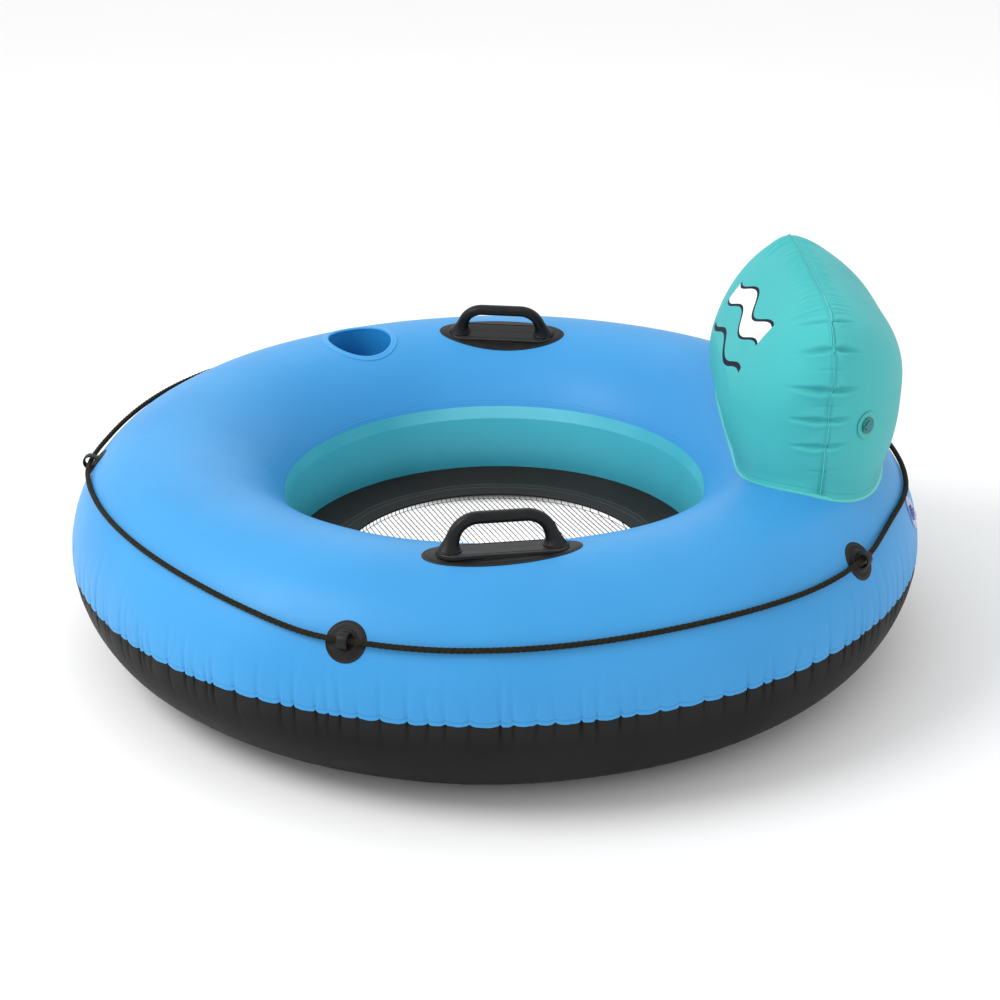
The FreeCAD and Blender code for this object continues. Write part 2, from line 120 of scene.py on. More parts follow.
def travelled(points):
    """Length run along a line of points, or along each column of a grid of points."""
    steps = np.linalg.norm(np.diff(points, axis=0), axis=-1)
    return np.concatenate([np.zeros_like(steps[:1]), np.cumsum(steps, axis=0)])


def round_point(out, bearing, up):
    """Points at a distance from the ring's axis."""
    return np.stack([out * np.cos(bearing), out * np.sin(bearing), up + 0 * bearing], -1)


def make(name, verts, faces, slot, **notes):
    """Smooth mesh object riding on the hull; notes are float attributes of its corners."""
    mesh = bpy.data.meshes.new(name)
    corners = np.asarray(verts, float).reshape(-1, 3).tolist()
    mesh.from_pydata(corners, [], [tuple(f) for f in faces])
    mesh.validate()
    mesh.polygons.foreach_set("use_smooth", [True] * len(mesh.polygons))
    obj = bpy.data.objects.new(name, mesh)
    bpy.context.scene.collection.objects.link(obj)
    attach(obj, "hull")
    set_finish(obj, slot)
    for key, values in notes.items():
        layer = mesh.attributes.new(key, "FLOAT", "POINT")
        layer.data.foreach_set("value", np.asarray(values, np.float32).ravel())
    return obj


def grid_faces(rows, cols):
    """Quads of a grid whose corners are numbered row by row and whose rows are closed."""
    r, c = (k.ravel() for k in np.meshgrid(np.arange(rows - 1), np.arange(cols), indexing="ij"))
    n = (c + 1) % cols
    return np.stack([r * cols + c, r * cols + n, (r + 1) * cols + n, (r + 1) * cols + c], -1)


def edit(obj, change):
    """Let a function change the mesh of a piece."""
    bm = bmesh.new()
    bm.from_mesh(obj.data)
    change(bm)
    bm.to_mesh(obj.data)
    bm.free()


def shaped(obj, weld=0.0):
    """Merge doubled corners and make the faces of one piece point the same way."""
    def change(bm):
        if weld:
            bmesh.ops.remove_doubles(bm, verts=bm.verts, dist=weld)
        bmesh.ops.recalc_face_normals(bm, faces=bm.faces)
    edit(obj, change)


def rounded(turn, a, b):
    """Cosine and sine of a rounded outline: the lower the powers, the squarer it is."""
    cos, sin = np.cos(turn), np.sin(turn)
    return np.sign(cos) * abs(cos) ** a, np.sign(sin) * abs(sin) ** b


def tube(line, a, b, turn, size_a, size_b):
    """Rings of corners round the points of a line, in the plane of a and b."""
    return (line[:, None] + (size_a * np.cos(turn))[..., None] * np.expand_dims(a, -2)
            + (size_b * np.sin(turn))[..., None] * np.expand_dims(b, -2))


def level_frame(line):
    """Directions level to the side and upwards along a line."""
    ahead = unit(np.gradient(line, axis=0))
    side = unit(np.cross(ahead, [0, 0, 1.0]))
    return side, np.cross(side, ahead)


def capped(rows):
    """Rows of corners with both ends drawn into a point."""
    first, last = (np.broadcast_to(row.mean(0), row.shape) for row in (rows[0], rows[-1]))
    return np.array([first, *rows, last])


# ---- air ring surface ----

def arc_points(out, up, radius, first, last):
    angles = np.linspace(first, last, 160)
    sin, cos = np.sin(angles), np.cos(angles)
    return np.stack([out + radius * sin, up + radius * cos, sin, cos], -1)


seam_angle = math.acos((SEAM_LEVEL - CENTRE) / TUBE)
outer_turn = math.pi - math.acos(CENTRE / TUBE)
low_centre = INNER_LOW - REST
low_start = math.pi + math.acos(low_centre / INNER_LOW)
low_end = math.pi + math.asin((RING - LOWER_SEAM[0]) / INNER_LOW)
upper_end = -math.asin((RING - UPPER_SEAM[0]) / INNER_TOP)
above = np.concatenate([arc_points(RING, CENTRE, TUBE, seam_angle, 0),
                        arc_points(RING, CREST - INNER_TOP, INNER_TOP, 0, upper_end)[1:]])
below = np.concatenate([arc_points(RING, CENTRE, TUBE, seam_angle, outer_turn),
                        arc_points(RING, low_centre, INNER_LOW, low_start, low_end)])
above_length, below_length = travelled(above[:, :2]), travelled(below[:, :2])
TOP_LENGTH, LOW_LENGTH = above_length[-1], below_length[-1]


def on_section(rise):
    """Place and outward normal on the section, at a length above (+) or below (-) the seam."""
    rise = np.asarray(rise, float)
    up, down = (np.stack([np.interp(at, length, points[:, k]) for k in range(4)], -1)
                for at, length, points in ((rise, above_length, above),
                                           (-rise, below_length, below)))
    found = np.where((rise >= 0)[..., None], up, down)
    return found[..., :2], unit(found[..., 2:])


def ring_point(bearing, rise, lift=0.0):
    """Points on the air ring's skin; lift is along the outward normal."""
    place, normal = on_section(rise)
    flat = place + normal * np.asarray(lift)[..., None]
    return round_point(flat[..., 0], bearing, flat[..., 1])


def ring_way(bearing, angle):
    """Origin, outward normal and forward tangent at a bearing and section angle in degrees."""
    b, a = math.radians(bearing), math.radians(angle)
    radius = TUBE if angle >= 0 else INNER_TOP
    out, up = RING + radius * math.sin(a), CREST - radius + radius * math.cos(a)
    normal = np.array([math.sin(a) * math.cos(b), math.sin(a) * math.sin(b), math.cos(a)])
    return (np.array([out * math.cos(b), out * math.sin(b), up]), normal,
            np.array([-math.sin(b), math.cos(b), 0.0]))


def on_ring(points):
    """Bearing, rise and height above the skin of points near the upper half of the ring."""
    out = np.hypot(points[..., 0], points[..., 1])
    inside = out < RING
    centre = np.where(inside, CREST - INNER_TOP, CENTRE)
    radius = np.where(inside, INNER_TOP, TUBE)
    angle = np.arctan2(out - RING, points[..., 2] - centre)
    rise = np.where(inside, TUBE * seam_angle - angle * INNER_TOP, (seam_angle - angle) * TUBE)
    return (np.arctan2(points[..., 1], points[..., 0]), rise,
            np.hypot(out - RING, points[..., 2] - centre) - radius)


# ---- creases that start at the outer seam; lengths in mm ----
dice = np.random.default_rng(23)
PINCHES, SMALL = 148, 190
steps = dice.uniform(0.60, 1.5, PINCHES) * np.where(dice.random(PINCHES) < 0.12, 0.62, 1.0)
pinch_at = np.cumsum(steps) / steps.sum() * TAU


def creases(count, at, depth, up, down, lean, width):
    return dict(at=at, depth=dice.uniform(*depth, count) * MM, up=dice.uniform(*up, count) * MM,
                down=dice.uniform(*down, count) * MM, lean=dice.normal(0, lean, count),
                width=dice.uniform(*width, count) * MM)


pinch = creases(PINCHES, pinch_at, (0.9, 2.9), (18, 58), (13, 27), 0.06, (1.2, 2.0))
small = creases(SMALL, dice.uniform(0, TAU, SMALL), (0.2, 0.8), (8, 26), (8, 24), 0.2, (0.9, 1.6))


def gap_share(bearing):
    """Where a bearing lies between its two pinches, from 0 to 1, and their distance."""
    b = np.mod(bearing, TAU)
    after = np.searchsorted(pinch_at, b) % len(pinch_at)
    before = (after - 1) % len(pinch_at)
    gap = np.mod(pinch_at[after] - pinch_at[before], TAU)
    return np.mod(b - pinch_at[before], TAU) / gap, gap * OUTSIDE


# centre of each fitting, the radius that stays plain and the radius where the wrinkles are full
calm_spots = [(ring_way(*place)[0], 0.030, 0.052) for place in GUIDES]
calm_spots += [(ring_way(*handle[:2])[0], 0.075, 0.135) for handle in HANDLES.values()]
calm_spots += [(ring_way(*CUP["place"])[0], 0.070, 0.100), (ring_way(*VALVE)[0], 0.030, 0.050)]


def calm(points, rise):
    """1 on the open skin, 0 where a fitting is welded on it."""
    share = np.ones(points.shape[:-1])
    for centre, near, far in calm_spots:
        share = share * smooth(np.linalg.norm(points - centre, axis=-1), near, far)
    # the foot of the backrest is about 0.32 by 0.60 m
    away = np.maximum(abs(points[..., 0] - 0.497) - 0.160, abs(points[..., 1]) - 0.300)
    return share * (1 - (1 - smooth(away, 0, 0.05)) * smooth(rise, 0.07, 0.12))


def from_crease(group, k, bearing, away, spread):
    """Distance from the middle of a crease, counted in its half width."""
    turn = np.mod(bearing - group["at"][k] + math.pi, TAU) - math.pi
    return (OUTSIDE * turn - group["lean"][k] * away) / (group["width"][k] + spread * away)


def swell(bearing, rise):
    """Height of the wrinkled skin above the plain ring."""
    bearing, rise = np.broadcast_arrays(np.asarray(bearing, float), np.asarray(rise, float))
    away = abs(rise)
    share, gap = gap_share(bearing)
    height = (0.050 * gap * arch(share) ** 0.7 - 0.9 * MM) * np.exp(-(away / 0.030) ** 1.2)
    for group in (pinch, small):
        for k in range(len(group["at"])):
            length = np.where(rise >= 0, group["up"][k], group["down"][k])
            x = from_crease(group, k, bearing, away, 0.075)
            fold = bell(x) - 0.34 * bell(x / 2.5)
            deep = group["depth"][k] * np.where(rise >= 0, 1.0, 1.35)
            height = height - deep * fold * np.exp(-(away / length) ** 1.7)
    roll = (0.55 * np.sin(3 * bearing + 0.7) * np.sin(rise * 21 + 1.0)
            + 0.40 * np.sin(7 * bearing + 2.1 + rise * 9)
            + 0.22 * np.sin(13 * bearing - rise * 23)) * MM
    height = height + roll * smooth(away, 0.02, 0.12) * smooth(TOP_LENGTH - rise, 0.0, 0.05)
    return height * calm(ring_point(bearing, rise), rise)


def gathered(bearing, rise):
    """1 in the bottom of a crease close to the outer seam, 0 on the open skin; it marks where the
    black sheet gets painted shade.
    """
    share = np.zeros(np.broadcast(bearing, rise).shape)
    for k, depth in enumerate(pinch["depth"]):
        x = from_crease(pinch, k, bearing, abs(rise), 0.06)
        share = np.maximum(share, depth / (2.4 * MM) * np.exp(-x ** 2 - (rise / 0.024) ** 2))
    return np.clip(share, 0, 1)


COLUMNS = 1800
columns = turns(COLUMNS)


def rows_between(first, last, start_step, grow, widest):
    """Places from first to last whose steps grow evenly."""
    places, step, at = [first], start_step, first
    while at + step < last:
        at += step
        places.append(at)
        step = min(step * grow, widest)
    places.append(last)
    return places


# ---- air ring pieces ----

def cut_hole(obj, origin, normal, radius):
    """Open a round hole in a skin and draw its edge into a clean circle."""
    origin, normal = Vector(origin), Vector(normal)

    def off_axis(point):
        away = point - origin
        depth = away.dot(normal)
        return away - normal * depth, abs(depth)

    def change(bm):
        doomed = set()
        for face in bm.faces:
            flat, depth = off_axis(face.calc_center_median())
            if depth < 0.05 and flat.length < radius:
                doomed.add(face)
        kept = (v for f in doomed for v in f.verts if any(g not in doomed for g in v.link_faces))
        for vert in set(kept):
            flat, _ = off_axis(vert.co)
            vert.co += flat.normalized() * radius - flat
        bmesh.ops.delete(bm, geom=list(doomed), context="FACES")

    edit(obj, change)


def top_skin():
    """Upper sheet, from its lobed edge below the outer seam to the top of the inner wall."""
    lap_end, close_start = 0.010, TOP_LENGTH - 0.03
    share, _ = gap_share(columns)
    edge = (2.6 - 4.6 * arch(share) ** 0.45 + 0.35 * np.sin(columns * 37)
            + 0.22 * np.sin(columns * 211)) * MM
    lap = [edge + (lap_end - edge) * k for k in np.linspace(0, 1, 8)[:-1]]
    free = rows_between(lap_end, close_start, 1.6 * MM, 1.035, 4.4 * MM)
    close = rows_between(close_start, TOP_LENGTH, 2.6 * MM, 1.0, 2.6 * MM)[1:]
    rise = np.array([edge] + lap + [np.full(COLUMNS, r) for r in free + close])
    lift = swell(columns[None], rise)
    lift[0] -= 1.5 * MM
    lift -= 0.5 * MM * bell((rise - edge - 5.6 * MM) / (1.1 * MM))
    lift += 0.5 * MM * bell((TOP_LENGTH - rise - 5.0 * MM) / (2.6 * MM))
    points = ring_point(columns[None], rise, lift)
    obj = make("ring_top_skin", points, grid_faces(len(rise), COLUMNS), "sky_blue_sheet",
               from_edge=rise - edge, to_wall=TOP_LENGTH - rise)
    cut_hole(obj, *ring_way(*CUP["place"])[:2], CUP["radius"] + 2.2 * MM)
    cut_hole(obj, *ring_way(*VALVE)[:2], VALVE_HOLE)
    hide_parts("top_skin")


def bottom_skin():
    """Lower sheet, flat on the ground where the ring rests."""
    near = rows_between(-0.009, 0.060, 1.8 * MM, 1.04, 5.0 * MM)
    far = rows_between(0.060, LOW_LENGTH, 5 * MM, 1.05, 9 * MM)[1:]
    fall = np.array(near + far)[:, None]
    rise = -fall + 0 * columns
    lift = swell(columns[None], rise) - 1.3 * MM * (1 - smooth(fall, 0.004, 0.016))
    lift = lift * (1 - smooth(fall, 0.20, 0.24) * (1 - smooth(fall, 0.30, 0.34)))
    points = ring_point(columns[None], rise, lift)
    points[..., 2] = np.maximum(points[..., 2], 0.0)
    faces = grid_faces(len(rise), COLUMNS)[:, ::-1]
    # the crease mask carries the painted shade of the black sheet
    obj = make("ring_bottom_skin", points, faces, "black_sheet", from_seam=rise,
               gathered=gathered(columns[None], rise))
    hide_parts("bottom_skin")


def wall_strip(name, low, high, slot, node, count):
    """Part of the inner wall between two shares of its height, with soft upright ripples."""
    rng = np.random.default_rng(5)
    waves = rng.integers(9, 60, 9)
    phases, sizes = rng.uniform(0, TAU, 9), rng.uniform(0.015, 0.07, 9) * MM
    bearing = columns[None, ::2]
    share = np.linspace(low, high, count)[:, None]
    wide, tall = UPPER_SEAM[0] - LOWER_SEAM[0], UPPER_SEAM[1] - LOWER_SEAM[1]
    out = LOWER_SEAM[0] + wide * share - WALL_BULGE * 4 * share * (1 - share)
    ripple = sum(s * np.cos(w * bearing + p) for w, p, s in zip(waves, phases, sizes))
    held = np.minimum(smooth(share, 0, 0.14), smooth(1 - share, 0.0, 0.10))
    out = out + ripple * held * (0.5 + 1.2 * (1 - share))
    points = round_point(out, bearing, LOWER_SEAM[1] + tall * share)
    obj = make(name, points, grid_faces(count, COLUMNS // 2)[:, ::-1], slot,
               to_band=(share - low) * tall + 0 * bearing)
    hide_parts(node)


def floor_ring():
    """Sloping sheet round the mesh: upper face, rolled edge and lower face."""
    bearing = turns(720)
    edge, level = FLOOR_EDGE
    seam, seam_level = LOWER_SEAM
    slope = (seam_level - level) / (seam - edge)
    ripple = (0.5 * np.sin(11 * bearing + 1) + 0.35 * np.sin(23 * bearing + 2.2)
              + 0.2 * np.sin(41 * bearing)) * MM
    rows = []
    for out in (seam + 0.004, *np.linspace(seam, edge + 0.016, 22),
                *np.linspace(edge + 0.015, edge + 0.0008, 20)):
        from_edge = out - edge
        groove = 0.45 * MM * bell((from_edge - 6.0 * MM) / (0.9 * MM))
        wave = ripple * smooth(from_edge, 0.010, 0.03) * (1 - smooth(from_edge, 0.055, 0.082))
        rows.append((out, level + slope * from_edge - groove + wave))
    rows += [(edge, level - 0.4 * MM), (edge, level - 0.8 * MM), (edge + 0.8 * MM, level - SHEET),
             (edge + MESH_MARGIN, level + slope * MESH_MARGIN - SHEET)]
    points = [round_point(out, bearing, z) for out, z in rows]
    obj = make("floor_ring_sheet", points, grid_faces(len(rows), len(bearing)), "black_sheet",
               from_hole=np.repeat([out - edge for out, _ in rows], len(bearing)))
    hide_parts("floor_ring")


NET_PITCH, NET_ROW = 0.0089, 0.0111
THREADS = {1: 0.15 * MM, -1: 0.70 * MM}
KNOT = np.array([0.80, 1.10, 0.75]) * MM
NET_DROP, RIM_CORD = 6.0 * MM, 0.5 * MM


def floor_net():
    """Open net of crossing threads with a knot at each crossing."""
    edge = FLOOR_EDGE[0]
    reach = edge + MESH_MARGIN - 0.0008
    rim = FLOOR_EDGE[1] - 2.1 * MM
    rng = np.random.default_rng(3)
    verts, faces = [], []

    def add(points, quads):
        faces.extend((quads + sum(len(v) for v in verts)).tolist())
        verts.append(np.asarray(points).reshape(-1, 3))

    def level(x, y):
        """The net drops at its rim and then sags a little more to the middle."""
        out = np.hypot(x, y)
        dropped = NET_DROP * smooth(edge - out, 0.2 * MM, 2.8 * MM)
        sag = (rim - NET_DROP - MESH_CENTRE) * np.clip(1 - (out / edge) ** 2, 0, 1)
        return rim + 0.21 * np.maximum(out - edge, 0) - dropped - sag

    def drawn(x, y):
        """Knitting is never quite even."""
        return (x + 0.35 * MM * np.sin(y * 61 + 1.3) + 0.3 * MM * np.sin(x * 47 + y * 23),
                y + 0.35 * MM * np.sin(x * 53 + 0.4) + 0.25 * MM * np.sin(y * 71 - x * 19))

    ring = turns(5)
    rows, parts = int(reach / NET_ROW), 16
    n = np.arange(-parts * (rows + 1), parts * (rows + 2)) / parts
    for family, thick in THREADS.items():
        count = int((reach * 1.5) / NET_PITCH)
        for k in range(-count, count + 1):
            x, y = k * NET_PITCH + family * 0.5 * NET_PITCH * n, NET_ROW * n
            out = np.hypot(x, y)
            # one point at each knot, and close points at the rim, where the net drops
            keep = (out < reach) & ((abs(out - edge + 2 * MM) < 5 * MM) | (n % 1 == 0))
            if keep.sum() < 3:
                continue
            x, y = drawn(x[keep], y[keep])
            line = np.stack([x, y, level(x, y) + family * 0.12 * MM], -1)
            size = thick * rng.uniform(0.9, 1.1)
            add(tube(line, *level_frame(line), ring, size, size), grid_faces(len(line), 5))

    cols = int(reach / NET_PITCH) + 2
    j, i = (k.ravel() for k in np.mgrid[-rows - 1:rows + 2, -cols:cols])
    x, y = (i + 0.5 * (j % 2)) * NET_PITCH, j * NET_ROW
    inside = np.hypot(x, y) < reach - 0.001
    x, y = drawn(x[inside], y[inside])
    middle = np.stack([x, y, level(x, y)], -1)
    corners = np.array([(1, 0, 0), (0, 1, 0), (-1, 0, 0), (0, -1, 0), (0, 0, 1), (0, 0, -1)])
    eight = np.array([(0, 1, 4), (1, 2, 4), (2, 3, 4), (3, 0, 4),
                      (1, 0, 5), (2, 1, 5), (3, 2, 5), (0, 3, 5)])
    add(middle[:, None] + corners * KNOT,
        (eight + 6 * np.arange(len(middle))[:, None, None]).reshape(-1, 3))

    # woven selvedge that is welded between the floor ring and the strip below it
    turn = turns(480)
    hem = [round_point(out, turn, level(out, 0) + lift * MM) for out, lift in (
        (0.2522, -0.12), (0.2522, 0.12), (0.2578, 0.16), (0.2634, 0.12), (0.2634, -0.12),
        (0.2578, -0.16), (0.2522, -0.12))]
    # thicker cord at the foot of the drop
    out = edge - 3.2 * MM
    cord = [round_point(out + RIM_CORD * math.cos(a), turn, level(out, 0) + RIM_CORD * math.sin(a))
            for a in np.linspace(0, TAU, 7)]
    for loops in (hem, cord):
        add(loops, grid_faces(len(loops), 480))
    obj = make("floor_net", np.concatenate(verts), faces, "black_mesh")
    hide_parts("floor_mesh")


# ---- fittings on the ring ----

def frame_of(way, turn=0.0):
    """Origin and local axes of a fitting: along the ring, across it and outwards."""
    origin, normal, tangent = way
    a = math.radians(turn)
    along = tangent * math.cos(a) + np.cross(normal, tangent) * math.sin(a)
    return origin, along, np.cross(normal, along), normal


def placed(axes, x, y, z):
    """Points at x along, y across and z outwards from a fitting's origin."""
    origin, *ways = axes
    return origin + sum(np.asarray(v)[..., None] * way for v, way in zip((x, y, z), ways))


def settle(axes, x, y, lift, level, rigid):
    """Corners of a patch: lifted off the skin where rigid is 0, at a level in its plane where 1."""
    flat = placed(axes, x, y, 0.0)
    # the skin point straight below, found along the fitting's own normal
    for _ in range(3):
        flat = flat - on_ring(flat)[2][..., None] * axes[-1]
    bearing, rise, _ = on_ring(flat)
    laid = ring_point(bearing, rise, lift + swell(bearing, rise))
    rigid = np.asarray(rigid)[..., None]
    return laid * (1 - rigid) + placed(axes, x, y, level) * rigid


def stadium_loop(length, width, count):
    """Round-ended outline as count points, starting at +X."""
    half, radius = (length - width) / 2, width / 2
    quarter = math.pi * radius / 2
    ends = np.cumsum([0, quarter, 2 * half, 2 * quarter, 2 * half, quarter])
    s = (np.arange(count) + 0.5) / count * ends[-1]
    # on a straight run the turn stands still and the centre moves
    turn = np.interp(s, ends, np.array([0, 1, 1, 3, 3, 4]) * math.pi / 2)
    centre = np.interp(s, ends, [half, half, -half, -half, half, half])
    return np.stack([centre + radius * np.cos(turn), radius * np.sin(turn)], -1)


def handle_patch(name, axes):
    """Oval flange laid on the skin, raised plateau with a stepped edge and a ribbed front."""
    count, top = 640, 4.6
    long, wide = 0.1125, 0.045
    stadium = stadium_loop(0.186, 0.052, count)
    angle = np.unwrap(np.arctan2(stadium[:, 1] / wide, stadium[:, 0] / long))
    oval = np.stack([long * np.cos(angle), wide * np.sin(angle)], -1)
    middle = np.clip(stadium[:, 0], -0.067, 0.067)
    inward = -unit(np.stack([stadium[:, 0] - middle, stadium[:, 1]], -1))
    rows, blotches_and_edge_shading = [], []

    def row(xy, lift, level=0.0, rigid=0.0, painted_light=0):
        """The last argument is 1 on a rounded edge, which gets a painted highlight, and -1 in a
        groove, which gets painted shade.
        """
        rows.append((xy, *(np.full(count, float(v)) for v in (lift, level, rigid))))
        blotches_and_edge_shading.append(painted_light)

    # flange rim: share of the oval and lift in mm, with 1 for a painted highlight and -1 for
    # painted shade
    for share, lift, painted_light in ((1, -0.4, -1), (1, 0.7, -1), (0.994, 1.3, 1), (0.985, 1.5, 0)):
        row(oval * share, lift * MM, painted_light=painted_light)
    for k in (0.12, 0.16, 0.20, 0.4, 0.6, 0.8, 0.92):
        groove = k == 0.16
        row(oval * 0.985 * (1 - k) + stadium * k, (1.15 if groove else 1.5) * MM, painted_light=-groove)
    row(stadium - inward * 1.2 * MM, 1.6 * MM, painted_light=-1)
    # ribs over a short stretch of both long walls
    ribbed = smooth(-abs(stadium[:, 0] + 0.004), -0.030, -0.026)
    rib = (0.28 * MM * (0.5 + 0.5 * np.cos(stadium[:, 0] * TAU / 0.0026)) * ribbed)[:, None]
    row(stadium - inward * (0.2 * MM + rib), 2.2 * MM, 2.0 * MM, 0.6, -1)
    for drop in (2.0, 1.2):
        row(stadium + inward * (0.15 * MM - rib), 0, (top - drop) * MM, 1)
    # rounded edge, groove and flat top, as steps inwards and drops from the top in mm, with 1 for a
    # painted highlight and -1 for painted shade
    for step, drop, painted_light in ((0.5, 0.6, 1), (1.3, 0.15, 1), (2.2, 0, 0), (3.6, 0, 0), (4.1, 0.2, 0),
                             (4.5, 0.8, -1), (5.1, 0.9, -1), (5.6, 0.7, -1), (6.0, 0.1, 1),
                             (6.6, 0, 0), (9, 0, 0), (14, 0, 0), (20, 0, 0), (25.8, 0, 0)):
        row(stadium + inward * step * MM, 0, (top - drop) * MM, 1, painted_light)
    xy, lift, level, rigid = (np.array(part) for part in zip(*rows))
    points = settle(axes, xy[..., 0], xy[..., 1], lift, level, rigid)
    # marks for the painted highlight on the rounded edges and the painted shade in the grooves
    blotches_and_edge_shading = np.repeat(blotches_and_edge_shading, count)
    obj = make(name + "_plate", points, grid_faces(len(rows), count), "black_moulding",
               rubbed=np.maximum(blotches_and_edge_shading, 0), sunk=np.maximum(-blotches_and_edge_shading, 0))
    shaped(obj, 0.02 * MM)
    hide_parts(name + "_patch")


def turned_corner(points, radii, spacing):
    """Points along straight runs joined by tangent arcs."""
    line, start = [], points[0]
    for before, corner, after, radius in zip(points, points[1:], points[2:], radii):
        inward, onward = unit(corner - before), unit(after - corner)
        half = math.acos(float(np.clip(inward @ onward, -1, 1))) / 2
        first = corner - inward * radius * math.tan(half)
        last = corner + onward * radius * math.tan(half)
        middle = first + unit(onward - inward * (inward @ onward)) * radius
        steps = max(2, int(np.linalg.norm(first - start) / spacing))
        line += [start + (first - start) * k / steps for k in range(steps)]
        count = max(6, int(2 * half * radius / spacing))
        for a in 2 * half * np.arange(count) / count:
            line.append(middle + (first - middle) * math.cos(a) + inward * radius * math.sin(a))
        start = last
    steps = max(2, int(np.linalg.norm(points[-1] - start) / spacing))
    line += [start + (points[-1] - start) * k / steps for k in range(steps + 1)]
    return np.array(line)


def handle_grip(name, axes):
    """Bar with broad rounded corners whose legs flare into stepped collars."""
    foot, shoulder, top, base, bend = 0.075, 0.059, 0.050, 0.0044, 0.036
    corners = ((-foot, 0, base), (-shoulder, 0, top), (shoulder, 0, top), (foot, 0, base))
    line = turned_corner([np.array(p) for p in corners], [bend, bend], 1.6 * MM)
    travel = travelled(line)
    from_foot = np.minimum(travel, travel[-1] - travel)
    # the first and last sections lie flat on the plateau
    flat = smooth(from_foot, 0.0, 0.016)[:, None]
    upright = np.array([0, 0, 1.0]) * np.where(travel < travel[-1] / 2, 1, -1)[:, None]
    ahead = unit(unit(np.gradient(line, axis=0)) * flat + upright * (1 - flat))
    sideways = np.array([0, 1.0, 0])
    upward = unit(np.cross(ahead, sideways))
    # distance from the foot and radius, in mm
    profile = MM * np.array([
        (0, 18.6), (1.4, 18.4), (2.2, 17.6), (2.6, 16.4), (3.4, 16.0), (5, 15.0), (8, 13.2),
        (12, 11.6), (17, 10.4), (23, 9.7), (32, 9.35), (60, 9.2)])

    def section(centre, up, at):
        """In the bar the section is a little wider than high, with a flatter top."""
        size, bar = np.interp(at, *profile.T), float(smooth(at, 0.02, 0.05))
        wide, high = rounded(turns(48), 1 - 0.08 * bar, 1 - 0.08 * bar)
        return (centre + (size * (1 + 0.05 * bar) * wide)[:, None] * sideways
                + (size * (1 - 0.04 * bar) * high)[:, None] * up)

    rows = []
    for k, at in enumerate(from_foot):
        rows.append(section(line[k], upward[k], at))
        # finer rows in the collar
        if at < 0.006 and k + 1 < len(line) and from_foot[k + 1] < 0.008:
            for f in (0.25, 0.5, 0.75):
                here, up, far = (v[k] + (v[k + 1] - v[k]) * f for v in (line, upward, from_foot))
                rows.append(section(here, unit(up), far))
    local = capped(rows)
    points = placed(axes, *np.moveaxis(local, -1, 0))
    obj = make(name + "_bar", points, grid_faces(len(local), 48), "black_moulding")
    shaped(obj, 0.01 * MM)
    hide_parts(name + "_grip")


# radius and height in mm, and 1 where the fine radial ribs are
DISC = [(29.0, -0.4, 0), (29.0, 0.7, 0), (28.7, 1.25, 0), (28.0, 1.5, 0), (26.6, 1.5, 0),
        (26.0, 1.15, 0), (25.4, 1.15, 0), (24.9, 1.45, 0), (23.5, 1.45, 1), (21.5, 1.45, 1),
        (19.5, 1.45, 1), (18.2, 1.45, 0.4), (17.6, 1.5, 0), (17.0, 1.9, 0), (16.4, 2.8, 0),
        (15.9, 3.2, 0), (15.0, 3.4, 0), (13.5, 3.4, 0), (9, 3.4, 0), (4, 3.4, 0), (0.01, 3.4, 0)]
HUB_RADIUS = 16.8


def guide(number, place):
    """Round patch with fine radial ribs, a raised hub and a strap-shaped eye for the rope."""
    axes = frame_of(ring_way(*place))
    turn = turns(288)
    rib = np.cos(turn * 72)
    rows = []
    for out, lift, ribbed in DISC:
        height = (lift + 0.22 * ribbed * rib) * MM
        rows.append(settle(axes, out * MM * np.cos(turn), out * MM * np.sin(turn), height, height,
                           float(out < HUB_RADIUS)))
    faces = grid_faces(len(rows), len(turn))[:, ::-1]
    obj = make("guide_%d_disc" % number, rows, faces, "black_moulding")
    shaped(obj, 0.005 * MM)
    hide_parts("rope_guide_%d_patch" % number)

    # the eye is an arched strap, in mm
    half, wall, top, base, long = 12.0, 3.0, 20.0, 2.6, 15.0
    radius = half - wall / 2
    leg = [base + (top - half - base) * k / 7 for k in range(7)]
    spine = [(-radius, z) for z in leg]
    spine += [(-radius * math.cos(a), top - half + radius * math.sin(a))
              for a in np.linspace(0, math.pi, 25)]
    spine += [(radius, z) for z in leg[::-1]]
    spine = np.array(spine)
    ahead = unit(np.gradient(spine, axis=0))
    outward = np.stack([-ahead[:, 1], ahead[:, 0]], -1)
    wide, thick = rounded(turns(28), 0.36, 0.6)
    rows = []
    for (y, z), n in zip(spine, outward):
        foot, crown = bell((z - base) / 2.2), 1 + 0.10 * smooth(z, 12, 20)
        x = wide * (long / 2) * (1 + 0.16 * foot)
        t = thick * (wall / 2) * (1 + 0.7 * foot) * crown * (1 - 0.22 * abs(wide) ** 4)
        rows.append(placed(axes, x * MM, (y + n[0] * t) * MM, (z + n[1] * t) * MM))
    rows = capped(rows)
    obj = make("guide_%d_eye" % number, rows, grid_faces(len(rows), 28), "black_moulding")
    shaped(obj, 0.005 * MM)
    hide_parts("rope_guide_%d_eye" % number)


